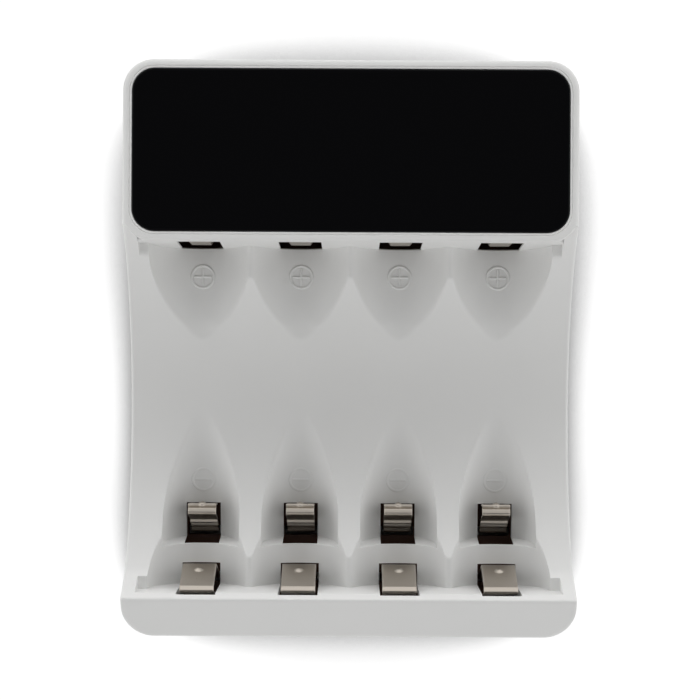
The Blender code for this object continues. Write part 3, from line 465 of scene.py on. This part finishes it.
def column_at(x, left):
    """The column at a width: the left or the right one of a pair."""
    found = np.flatnonzero(np.abs(widths - x) < 1e-4)
    return found[0] if left else found[-1]


def row_at(y):
    """The row of the tray's floor that lies nearest to a place along the casing."""
    return floor_start + int(np.abs(floor_ys - y).argmin())


def border(rows_span, columns_span):
    """Row and column numbers round a block of cells, as one closed loop."""
    top, bottom = rows_span
    left, right = columns_span
    across = np.arange(left, right + 1)
    along = np.arange(top, bottom + 1)
    top_row = np.full(len(across), top)
    bottom_row = np.full(len(across) - 1, bottom)
    right_column = np.full(len(along) - 1, right)
    left_column = np.full(len(along) - 2, left)
    row = np.concatenate([top_row, along[1:], bottom_row, along[1:-1][::-1]])
    column = np.concatenate([across, right_column, across[:-1][::-1], left_column])
    return row, column


keep = np.ones((len(tray_y) - 1, len(widths) - 1), bool)
bands = []
notch_top = crest_start + int(np.abs(crest_ys - NOTCH_TOP_Y).argmin())
for x in BAYS:
    spans = [
        ((len(wall_levels) - 1, floor_start - 1), POSITIVE_HALF, "wall"),
        ((row_at(SLOT_REAR_Y), row_at(SLOT_FRONT_Y)), SLOT_HALF, "floor"),
        ((row_at(NOTCH_Y), notch_top), NOTCH_HALF, "corner"),
    ]
    for span, half, kind in spans:
        columns = (column_at(x - half, True), column_at(x + half, True))
        keep[span[0]:span[1], columns[0]:columns[1]] = False
        row, column = border(span, columns)
        loop = tray[row, column]
        move = np.zeros_like(loop)
        if kind == "wall":
            move[:, 1] = LINING
            move[row == span[1], 1:] = (SILL_LINING, -WALL)
        elif kind == "floor":
            move[:, 2] = -WALL
        else:
            move[row < end_start, 2] = -WALL
            move[row >= end_start - 1, 1] = -END_WALL
        bands.append(band(loop, loop + move))
tray_faces = grid_faces(*tray_y.shape)[keep.ravel()]
print("openings:", len(bands))

# %% [markdown]
# ## Head rim
# A ring joins the window's seat to the outline. From the window outwards it has the seat wall, a narrow flat
# band, a fine groove and the rounded rim.

# %% Head rim
seat_half = WINDOW_HALF + WINDOW_GAP
seat_front = WINDOW_FRONT - WINDOW_GAP
seat_rear = WINDOW_REAR + WINDOW_GAP
seat_corner = WINDOW_CORNER + WINDOW_GAP
groove_at = 0.33
groove_half = 0.12
side_ys = np.linspace(head_edge_y[-1], REAR_Y - REAR_CORNER, 36)[1:]
turn = np.radians(np.linspace(0, 90, 22))[1:]
arc_x = HALF_WIDTH - REAR_CORNER + REAR_CORNER * np.cos(turn)
arc_y = REAR_Y - REAR_CORNER + REAR_CORNER * np.sin(turn)
rear_xs = np.linspace(29.5, -29.5, 119)[1:]
right_x = np.concatenate([np.full(len(side_ys), HALF_WIDTH), arc_x])
right_y = np.concatenate([side_ys, arc_y])
rim_x = np.concatenate([right_x, rear_xs, -right_x[::-1][1:]])
rim_y = np.concatenate([right_y, np.full(len(rear_xs), REAR_Y), right_y[::-1][1:]])
loop_x = np.concatenate([widths, rim_x])
loop_y = np.concatenate([tray_y[0], rim_y])
edge_z = np.concatenate([rows[0][1], np.full(len(rim_x), HEAD_TOP)])

nearest_x = np.clip(loop_x, seat_corner - seat_half, seat_half - seat_corner)
nearest_y = np.clip(loop_y, seat_front + seat_corner, seat_rear - seat_corner)
out_x, out_y = loop_x - nearest_x, loop_y - nearest_y
length = np.hypot(out_x, out_y)
out_x, out_y = out_x / length, out_y / length
seat_x, seat_y = nearest_x + out_x * seat_corner, nearest_y + out_y * seat_corner
rim_width = length - seat_corner

ring_rows = [np.stack([seat_x, seat_y, np.full_like(seat_x, SEAT_Z)], axis=1)]
inner_steps = [(0.0, -0.08), (0.04, -0.03), (0.1, 0.0), (0.16, 0.0)]
groove_steps = [(-0.08, -0.05), (-0.03, -0.11), (0.03, -0.11), (0.08, -0.05)]
groove_steps = [(-groove_half, 0.0), *groove_steps, (groove_half, 0.0)]
steps = [(np.full_like(seat_x, away), sink) for away, sink in inner_steps]
steps += [(np.full_like(seat_x, groove_at + away), sink) for away, sink in groove_steps]
outer = rim_width - groove_at - groove_half
for share in [0.86, 0.72, 0.58, 0.45, 0.33, 0.23, 0.15, 0.08, 0.035, 0.01, 0.0]:
    steps.append((rim_width - outer * share, 0.0))
for away, sink in steps:
    x, y = seat_x + out_x * away, seat_y + out_y * away
    from_edge = np.clip((rim_width - away) / FACE_FILLET, 0, 1)
    rounding = (HEAD_TOP - edge_z) * (1 - np.sqrt(1 - (1 - from_edge) ** 2))
    ring_rows.append(np.stack([x, y, HEAD_TOP + sink - edge_drop(x, y) - rounding], axis=1))
ring = np.array(ring_rows)
ring_faces = grid_faces(*ring.shape[:2], closed=True)
print("rim ring:", ring.shape)

# %% [markdown]
# ## Casing side
# A band hangs from the whole outline down to the seam. The charging inlet at the rear is a slot with round
# ends, and a plate of faces fills the space between it and the band.

# %% Casing side
last = tray[-1]
right_side = tray[floor_start - 1:, -1][::-1]
left_side = tray[floor_start - 1:, 0]
rim_loop = ring[-1][len(widths):]
outline_loop = np.concatenate([last, right_side[1:], rim_loop, left_side[:-1]])
moved = np.linalg.norm(np.roll(outline_loop, -1, axis=0) - outline_loop, axis=1)
outline_loop = outline_loop[moved > 1e-4]
shares = np.array([0, 0.03, 0.08, 0.16, 0.28, 0.42, 0.56, 0.66, 0.7483, 0.83, 0.91, 1.0])
seam_return = 1.2
inlet_rows = (8, 11)
inlet_plate_half = 6.01
side = np.repeat(outline_loop[None], len(shares), axis=0)
side[:, :, 2] = outline_loop[:, 2] * (1 - shares[:, None]) + SPLIT_TOP * shares[:, None]
_, side_x, side_y = outline_distance(outline_loop[:, 0], outline_loop[:, 1])
lower_edge = side[-1] - np.stack([side_x, side_y, 0 * side_x], axis=1) * seam_return
side = np.concatenate([side, lower_edge[None]])
side_faces = grid_faces(*side.shape[:2], closed=True)
near_middle = np.abs(outline_loop[:, 0]) < inlet_plate_half
at_rear = np.flatnonzero(near_middle & (outline_loop[:, 1] > REAR_Y - 0.01))
cells = np.ones((len(side) - 1, len(outline_loop)), bool)
cells[inlet_rows[0]:inlet_rows[1], at_rear[0]:at_rear[-1]] = False
side_faces = side_faces[cells.ravel()]

tops = side[inlet_rows[0], at_rear]
bottoms = side[inlet_rows[1], at_rear][::-1]
left_edge = side[inlet_rows[0] + 1:inlet_rows[1], at_rear[-1]]
right_edge = side[inlet_rows[0] + 1:inlet_rows[1], at_rear[0]][::-1]
frame_loop = np.concatenate([tops, left_edge, bottoms, right_edge])
aim = frame_loop[:, [0, 2]] - [0.0, INLET_Z]
aim = aim / np.linalg.norm(aim, axis=1, keepdims=True)
flat_reach = INLET_RADIUS / np.maximum(np.abs(aim[:, 1]), 1e-6)
beyond = np.sqrt(np.maximum(INLET_RADIUS ** 2 - (INLET_FLAT_HALF * aim[:, 1]) ** 2, 0))
round_reach = INLET_FLAT_HALF * np.abs(aim[:, 0]) + beyond
hits_flat = flat_reach * np.abs(aim[:, 0]) <= INLET_FLAT_HALF
inlet_reach = np.where(hits_flat, flat_reach, round_reach)
slot_loop = frame_loop.copy()
slot_loop[:, 0] = aim[:, 0] * inlet_reach
slot_loop[:, 2] = INLET_Z + aim[:, 1] * inlet_reach
plate = np.array([frame_loop * (1 - s) + slot_loop * s for s in (0, 0.35, 0.7, 1.0)])
plate_faces = grid_faces(*plate.shape[:2], closed=True)
corners = plate.reshape(-1, 3)[plate_faces]
plate_normal = np.cross(corners[:, 2] - corners[:, 0], corners[:, 3] - corners[:, 1])[:, 1].sum()
if plate_normal < 0:
    plate_faces = plate_faces[:, ::-1]
bands.append(band(slot_loop, slot_loop - [0.0, REAR_WALL, 0.0]))

parts = [(tray, tray_faces), (ring, ring_faces), (side, side_faces), (plate, plate_faces), *bands]
casing_points, casing_faces = join_parts(parts)
casing = make_mesh("casing_top", with_draft(casing_points), casing_faces)
casing.data.materials.append(WHITE_PLASTIC)
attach(casing, "case")
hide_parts("upper_housing")
print("casing faces:", len(casing.data.polygons))

# %% [markdown]
# ## Window
# A plain glossy plate with a fine rounded edge, set into its seat with a thin gap all round.


# %% Window
def rounded_loop(half, front, rear, corner, steps=16):
    """Points round a rounded rectangle, anticlockwise."""
    loop = []
    for x, y, start in ((half, front, -90), (half, rear, 0), (-half, rear, 90), (-half, front, 180)):
        turn = np.radians(np.linspace(start, start + 90, steps))
        middle = (x - math.copysign(corner, x), y + (corner if y == front else -corner))
        loop.append(np.stack([middle[0] + corner * np.cos(turn), middle[1] + corner * np.sin(turn)], axis=1))
    return np.concatenate(loop)


def plate_rings(levels, half, front, rear, corner):
    """Rings of a rounded plate, one for each (height, inset), closed at both ends by shrinking rings."""
    rings = []
    for z, inset in levels:
        loop = rounded_loop(half - inset, front + inset, rear - inset, max(corner - inset, 0.05))
        rings.append(np.column_stack([loop, np.full(len(loop), z)]))
    middle = rings[0].mean(axis=0)
    low = rings[0] * 0 + [middle[0], middle[1], levels[0][0]]
    high = rings[0] * 0 + [middle[0], middle[1], levels[-1][0]]
    return np.array([low, *rings, high])


window_levels = [(WINDOW_UNDERSIDE, 0.0), (26.85, 0.0), (26.92, 0.02), (26.97, 0.06), (26.999, 0.14)]
window_levels += [(HEAD_TOP, 0.2), (HEAD_TOP, 0.6)]
window_points = plate_rings(window_levels, WINDOW_HALF, WINDOW_FRONT, WINDOW_REAR, WINDOW_CORNER)
window_faces = grid_faces(*window_points.shape[:2], closed=True)[:, ::-1]
window = make_mesh("display_window_plate", window_points.reshape(-1, 3), window_faces)
window.data.materials.append(BLACK_WINDOW)
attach(window, "case")
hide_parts("display_window")
print("window faces:", len(window.data.polygons))

# %% [markdown]
# ## Polarity marks
# Each bay has a raised ring with a plus near the head and one with a minus over the low end. Every stroke is
# a low half-round bead that follows the floor. The minus marks stand out much less, as in the photograph.


# %% Polarity marks
MARK_RADIUS = 1.72
MARK_ARM = 1.3
STROKE_WIDTH = 0.4
BEAD_SINK = 0.08
PLUS_Y = 11.29
PLUS_HEIGHT = 0.14
MINUS_Y = -20.5
MINUS_HEIGHT = 0.05


def bead(path, height, closed=False):
    """A half-round bead along a path in plan: its crown rises from the floor and its sides sink under it."""
    before = np.roll(path, 1, axis=0)
    after = np.roll(path, -1, axis=0)
    if not closed:
        before[0], after[-1] = path[0], path[-1]
    run = after - before
    run = run / np.linalg.norm(run, axis=1, keepdims=True)
    across = np.stack([run[:, 1], -run[:, 0]], axis=1)
    turn = np.radians(np.linspace(0, 360, 17)[:-1])
    aside = np.cos(turn) * STROKE_WIDTH / 2
    lift = np.sin(turn) * np.where(np.sin(turn) > 0, height, BEAD_SINK)
    taper = np.ones(len(path))
    if not closed:
        taper[[0, -1]] = 0.0
    x = path[:, :1] + across[:, :1] * aside * taper[:, None]
    y = path[:, 1:] + across[:, 1:] * aside * taper[:, None]
    z = pocket_floor(x, y) + lift * taper[:, None]
    points = np.stack([x, y, z], axis=-1)
    if closed:
        points = np.concatenate([points, points[:1]])
    return points, grid_faces(*points.shape[:2], closed=True)


def stroke(start, end):
    """Points of a straight stroke, with close ones at its ends for the rounding."""
    shares = np.array([0, 0.01, 0.04, 0.1, *np.linspace(0.15, 0.85, 15), 0.9, 0.96, 0.99, 1.0])[:, None]
    return np.array(start) * (1 - shares) + np.array(end) * shares


def mark(x, y, sign, height):
    """The strokes of one mark: a ring, a stroke across the bay and, for a plus, one along it."""
    turn = np.radians(np.linspace(0, 360, 73)[:-1])
    circle = np.stack([x + MARK_RADIUS * np.cos(turn), y + MARK_RADIUS * np.sin(turn)], axis=1)
    across = stroke((x - MARK_ARM, y), (x + MARK_ARM, y))
    strokes = [bead(circle, height, closed=True), bead(across, height)]
    if sign == "plus":
        along = stroke((x, y - MARK_ARM), (x, y + MARK_ARM))
        strokes.append(bead(along, height))
    return strokes


for number, x in enumerate(BAYS, 1):
    for sign, y, height in (("plus", PLUS_Y, PLUS_HEIGHT), ("minus", MINUS_Y, MINUS_HEIGHT)):
        points, faces = join_parts(mark(x, y, sign, height))
        sign_mark = make_mesh(f"{sign}_mark_{number}", points, faces, angle=60)
        sign_mark.data.materials.append(WHITE_PLASTIC)
        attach(sign_mark, "case")
print("marks: 8")

# %% [markdown]
# ## Spring contacts
# Each bent strip follows the CAD leaf's path in the YZ plane, with soft bends, rounded edges and a pressed
# dimple where it meets the cell. The AA strip leans forwards and folds back over at the top. The AAA strip
# climbs in three stamped treads, runs up a slope and ends in a loop.


# %% Spring contacts
STRIP = 0.3
STRIP_EDGE = 0.09
PATH_STEP = 0.5
FINE_STEP = 0.09
DIMPLE_HEIGHT = 0.32
DIMPLE_RADIUS = 0.72
TOWARDS_CELL = np.array([1.0, 0.4])


def rounded_path(points, radii, step=8):
    """A line whose corners are arcs tangent to both runs."""
    points = [np.array(p, float) for p in points]
    path = [points[0]]
    for before, corner, after, radius in zip(points, points[1:], points[2:], radii):
        into, out = before - corner, after - corner
        into_length, out_length = np.linalg.norm(into), np.linalg.norm(out)
        into, out = into / into_length, out / out_length
        half = math.acos(float(into @ out)) / 2
        reach = min(radius / math.tan(half), 0.45 * into_length, 0.45 * out_length)
        middle = (into + out) / np.linalg.norm(into + out)
        centre = corner + middle * reach / math.cos(half)
        first, last = corner + into * reach - centre, corner + out * reach - centre
        start = math.atan2(first[1], first[0])
        turn = (math.atan2(last[1], last[0]) - start + math.pi) % (2 * math.pi) - math.pi
        angles = start + turn * np.linspace(0, 1, step)
        path += list(centre + reach * math.tan(half) * np.stack([np.cos(angles), np.sin(angles)], axis=1))
    path.append(points[-1])
    return np.array(path)


def resampled(path, fine_at):
    """The same line with points along its straight runs too, closer together near a place."""
    out = [path[0]]
    for a, b in zip(path, path[1:]):
        near = np.linalg.norm((a + b) / 2 - fine_at) < np.linalg.norm(b - a) / 2 + 1.0
        count = max(int(np.linalg.norm(b - a) / (FINE_STEP if near else PATH_STEP)), 1)
        out += [a + (b - a) * i / count for i in range(1, count + 1)]
    return np.array(out)


def strip(x, path, width, dimple):
    """A strip swept along a path in the YZ plane. Its section is a thin rounded rectangle, and a smooth cap
    is pressed out towards the cell at the dimple."""
    path = resampled(path, dimple)
    run = np.gradient(path, axis=0)
    run = run / np.linalg.norm(run, axis=1, keepdims=True)
    normal = np.stack([-run[:, 1], run[:, 0]], axis=1)
    flat = width / 2 - STRIP_EDGE
    outer = np.linspace(1.0, flat, 8)
    across = np.concatenate([-outer[::-1], np.linspace(-0.9, 0.9, 21), outer])
    turn = np.radians([-67.5, -45, -22.5, 0, 22.5, 45, 67.5])
    edge_u = flat + STRIP_EDGE * np.cos(turn)
    edge_v = STRIP / 2 * np.sin(turn)
    face_v = np.full(len(across), STRIP / 2)
    u = np.concatenate([across[::-1], -edge_u, across, edge_u])
    v = np.concatenate([face_v, edge_v[::-1], -face_v, edge_v])
    away = np.linalg.norm(path[:, None, :] - dimple, axis=2)
    distance = np.hypot(away, u[None, :])
    lift = DIMPLE_HEIGHT * np.clip(1 - (distance / DIMPLE_RADIUS) ** 2, 0, 1) ** 1.5
    face = 1.0 if TOWARDS_CELL @ normal[np.argmin(away[:, 0])] > 0 else -1.0
    offset = v[None, :] + face * lift
    y = path[:, :1] + normal[:, :1] * offset
    z = path[:, 1:] + normal[:, 1:] * offset
    points = np.stack([np.broadcast_to(x + u, y.shape), y, z], axis=-1)
    caps = points[[0, -1]].mean(axis=1, keepdims=True).repeat(len(u), axis=1)
    points = np.concatenate([caps[:1], points, caps[1:]])
    return points.reshape(-1, 3), grid_faces(*points.shape[:2], closed=True)


aa_points = [(-36.3, 3.15), (-36.3, 5.4), (-33.1, 17.2), (-35.78, 23.25), (-36.5, 23.7), (-36.95, 21.5)]
aa_path = rounded_path(aa_points, [0.8, 0.5, 0.2, 0.2])
aa_width = 5.2
aa_dimple = np.array([-33.875, 18.875])
tread_depth = 0.55
tread_rise = 0.1
aaa_points = [(-28.9, 3.15), (-28.9, 5.4)]
for y, z in [(-28.75, 5.85), (-28.0, 7.15), (-27.35, 8.45)]:
    aaa_points += [(y, z), (y + tread_depth, z + tread_rise)]
aaa_points += [(-25.6, 13.15), (-24.85, 12.95), (-24.6, 12.62), (-24.15, 13.15), (-24.35, 9.8)]
aaa_path = rounded_path(aaa_points, [0.3] + [0.14] * 6 + [0.25, 0.05, 0.05, 0.25], 6)
aaa_width = 4.4
aaa_dimple = np.array([-24.2, 12.4])
kinds = [("aa", aa_path, aa_width, aa_dimple), ("aaa", aaa_path, aaa_width, aaa_dimple)]
for kind, path, width, dimple in kinds:
    for number, x in enumerate(BAYS, 1):
        points, faces = strip(x, path, width, dimple)
        leaf = make_mesh(f"{kind}_spring_{number}", points, faces, angle=50)
        leaf.data.materials.append(NICKEL)
        node = f"{kind}_negative_contact_{number}"
        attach(leaf, node)
        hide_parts(node)
print("spring contacts: 8")

# %% [markdown]
# ## Remaining pieces
# The smaller CAD solids keep their shape. Each gets a merged copy with smooth curves, and most also get fine
# bevels. The pads of the positive plates lean back towards their top and are narrower at their foot.


# %% Remaining pieces
PAD_REAR_Y = 16.75
PAD_FOOT_Z = 16.2
PAD_HEIGHT = 6.8
PAD_LEAN = 0.42
PAD_FOOT_SHARE = 0.86


def mesh_points(mesh):
    """The corners of a mesh in millimetres."""
    flat = np.empty(len(mesh.vertices) * 3)
    mesh.vertices.foreach_get("co", flat)
    return flat.reshape(-1, 3) / MM


def refined(node, name, material, bevel=0.1, angle=35.0):
    """A merged copy of a CAD node, its flat triangles joined, its curves smooth and, for a bevel above zero,
    its edges bevelled.
    """
    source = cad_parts[node]
    bm = bmesh.new()
    bm.from_mesh(source.data)
    bmesh.ops.remove_doubles(bm, verts=bm.verts, dist=0.002 * MM)
    bmesh.ops.dissolve_limit(bm, angle_limit=math.radians(1), verts=bm.verts, edges=bm.edges)
    mesh = bpy.data.meshes.new(name)
    bm.to_mesh(mesh)
    bm.free()
    mesh.shade_smooth()
    mesh.set_sharp_from_angle(angle=math.radians(angle))
    obj = bpy.data.objects.new(name, mesh)
    bpy.context.scene.collection.objects.link(obj)
    mesh.materials.append(material)
    if bevel:
        edge = obj.modifiers.new("fine_edge", "BEVEL")
        edge.width = bevel * MM
        edge.segments = 2
        edge.limit_method = "ANGLE"
        edge.angle_limit = math.radians(angle)
        edge.harden_normals = True
    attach(obj, "case")
    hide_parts(node)
    return obj


def lean_pad(mesh):
    """Shears the pad of a positive plate backwards with height, and narrows it towards its foot."""
    spots = mesh_points(mesh)
    pad = spots[:, 1] < PAD_REAR_Y
    lift = np.clip((spots[:, 2] - PAD_FOOT_Z) / PAD_HEIGHT, 0, 1)
    spots[:, 1] += np.where(pad, PAD_LEAN * lift, 0.0)
    middle = spots[pad, 0].mean()
    share = PAD_FOOT_SHARE + (1 - PAD_FOOT_SHARE) * lift
    spots[:, 0] = np.where(pad, middle + (spots[:, 0] - middle) * share, spots[:, 0])
    mesh.vertices.foreach_set("co", (spots * MM).ravel())


refined("lower_housing", "casing_base", WHITE_PLASTIC, bevel=0)
for i in range(1, 5):
    plate = refined(f"positive_contact_{i}", f"positive_plate_{i}", NICKEL, bevel=0.06)
    lean_pad(plate.data)
    refined(f"housing_screw_{i}", f"base_screw_{i}", STEEL, bevel=0.12)
    refined(f"rubber_foot_{i}", f"foot_{i}", RUBBER, bevel=0)
    refined(f"charge_transistor_{i}", f"transistor_{i}", BLACK_PART)
refined("usb_input_socket", "inlet_socket", STEEL, bevel=0)
refined("main_circuit_board", "main_board", BOARD, bevel=0)
refined("display_board", "window_board", BOARD, bevel=0)
refined("display_module", "display_block", BLACK_PART, bevel=0.15)
refined("display_header", "board_header", BLACK_PART, bevel=0)
refined("charge_controller_chip", "controller_chip", BLACK_PART)
refined("power_inductor", "inductor_block", BLACK_PART, bevel=0.3)
for i in (1, 2):
    refined(f"filter_capacitor_{i}", f"capacitor_{i}", STEEL, bevel=0.25)

# %% [markdown]
# ## Studio
# The surround is the only light. It is dark overhead. From the rear it is brightest near the horizon, and
# from the front it is weaker and brightest halfway up. Camera and metal see a white surround instead, which
# darkens overhead. To them the floor glows white too, less so near the casing, which hides part of its sky.
# The camera looks straight down, turned by a third of a degree as in the photograph.


# %% Studio
FLOOR_HALF = 3.0
FLOOR_TONE = 0.82
FLOOR_BASE = 0.3
FLOOR_GLOW = 0.86
SHADOW_REACH = 0.1
SHADOW_OPEN = (0.5, 0.66)
SURROUND_STRENGTH = 2.6
REAR_LEVELS = [(0.0, 1.0), (0.3, 0.83), (0.45, 0.60), (0.6, 0.27), (0.75, 0.04), (0.9, 0.0)]
FRONT_LEVELS = [(0.0, 0.2), (0.15, 0.26), (0.3, 0.4), (0.45, 0.52), (0.6, 0.5), (0.75, 0.31), (0.9, 0.0)]
CAMERA_HEIGHT = 0.326
CAMERA_LENS = 103.2
CAMERA_TURN = math.radians(0.3)


def shown_white(tree, lit, white):
    """Mixes from the lit socket to the white one on camera, glossy and transmission rays."""
    path = tree.nodes.new("ShaderNodeLightPath")
    either = tree.nodes.new("ShaderNodeMath")
    either.operation = "MAXIMUM"
    any_of = tree.nodes.new("ShaderNodeMath")
    any_of.operation = "MAXIMUM"
    mix = tree.nodes.new("ShaderNodeMixShader")
    tree.links.new(path.outputs["Is Camera Ray"], either.inputs[0])
    tree.links.new(path.outputs["Is Glossy Ray"], either.inputs[1])
    tree.links.new(either.outputs[0], any_of.inputs[0])
    tree.links.new(path.outputs["Is Transmission Ray"], any_of.inputs[1])
    tree.links.new(any_of.outputs[0], mix.inputs["Fac"])
    tree.links.new(lit, mix.inputs[1])
    tree.links.new(white, mix.inputs[2])
    return mix.outputs["Shader"]


def height_ramp(tree, height, levels):
    """Brightness against height: straight lines between the given levels."""
    ramp = tree.nodes.new("ShaderNodeValToRGB")
    for spot, _ in levels[2:]:
        ramp.color_ramp.elements.new(spot)
    for stop, (spot, bright) in zip(ramp.color_ramp.elements, levels):
        stop.position = spot
        stop.color = (bright, bright, bright, 1)
    tree.links.new(height, ramp.inputs["Fac"])
    return ramp.outputs["Color"]


def rescaled(tree, value, source, target=(0.0, 1.0)):
    """The value moved from one range to another, and held inside it."""
    node = tree.nodes.new("ShaderNodeMapRange")
    node.inputs["From Min"].default_value = source[0]
    node.inputs["From Max"].default_value = source[1]
    node.inputs["To Min"].default_value = target[0]
    node.inputs["To Max"].default_value = target[1]
    tree.links.new(value, node.inputs["Value"])
    return node.outputs["Result"]


floor_mesh = bpy.data.meshes.new("floor")
floor_corners = [(x * FLOOR_HALF, y * FLOOR_HALF, 0) for x, y in ((-1, -1), (1, -1), (1, 1), (-1, 1))]
floor_mesh.from_pydata(floor_corners, [], [(0, 1, 2, 3)])
floor = bpy.data.objects.new("floor", floor_mesh)
bpy.context.scene.collection.objects.link(floor)
floor_material = bpy.data.materials.new("floor_white")
floor_material.use_nodes = True
tree = floor_material.node_tree
diffuse = tree.nodes["Principled BSDF"]
diffuse.inputs["Base Color"].default_value = (FLOOR_TONE, FLOOR_TONE, FLOOR_TONE, 1)
diffuse.inputs["Roughness"].default_value = 0.9
diffuse.inputs["Specular IOR Level"].default_value = 0.0
pale = tree.nodes.new("ShaderNodeBsdfDiffuse")
pale.inputs["Color"].default_value = (FLOOR_BASE, FLOOR_BASE, FLOOR_BASE, 1)
glow = tree.nodes.new("ShaderNodeEmission")
near = tree.nodes.new("ShaderNodeAmbientOcclusion")
near.inputs["Distance"].default_value = SHADOW_REACH
near.samples = 64
open_sky = rescaled(tree, near.outputs["AO"], SHADOW_OPEN, (0.0, FLOOR_GLOW))
tree.links.new(open_sky, glow.inputs["Strength"])
lifted = tree.nodes.new("ShaderNodeAddShader")
tree.links.new(pale.outputs["BSDF"], lifted.inputs[0])
tree.links.new(glow.outputs["Emission"], lifted.inputs[1])
shown = shown_white(tree, diffuse.outputs["BSDF"], lifted.outputs["Shader"])
tree.links.new(shown, tree.nodes["Material Output"].inputs["Surface"])
floor_mesh.materials.append(floor_material)

world = bpy.data.worlds.new("surround")
bpy.context.scene.world = world
world.use_nodes = True
tree = world.node_tree
lit = tree.nodes["Background"]
lit.inputs["Strength"].default_value = SURROUND_STRENGTH
white = tree.nodes.new("ShaderNodeBackground")
white.inputs["Strength"].default_value = 1.0
place = tree.nodes.new("ShaderNodeTexCoord")
split = tree.nodes.new("ShaderNodeSeparateXYZ")
both = tree.nodes.new("ShaderNodeMix")
both.data_type = "RGBA"
tree.links.new(place.outputs["Generated"], split.inputs["Vector"])
tree.links.new(rescaled(tree, split.outputs["Y"], (-0.9, 0.9)), both.inputs["Factor"])
tree.links.new(height_ramp(tree, split.outputs["Z"], FRONT_LEVELS), both.inputs["A"])
tree.links.new(height_ramp(tree, split.outputs["Z"], REAR_LEVELS), both.inputs["B"])
tree.links.new(both.outputs["Result"], lit.inputs["Color"])
overhead = rescaled(tree, split.outputs["Z"], (0.85, 0.975), (1.0, 0.05))
tree.links.new(overhead, white.inputs["Color"])
shown = shown_white(tree, lit.outputs["Background"], white.outputs["Background"])
tree.links.new(shown, tree.nodes["World Output"].inputs["Surface"])

camera = bpy.data.cameras.new("camera")
camera.sensor_width = 36.0
camera.lens = CAMERA_LENS
camera.clip_start = 0.01
camera_object = bpy.data.objects.new("camera", camera)
bpy.context.scene.collection.objects.link(camera_object)
camera_object.location = (0.0, 0.0, CAMERA_HEIGHT)
camera_object.rotation_euler = (0.0, 0.0, CAMERA_TURN)
bpy.context.scene.camera = camera_object
bpy.context.scene.view_settings.view_transform = "Standard"
print("studio ready")
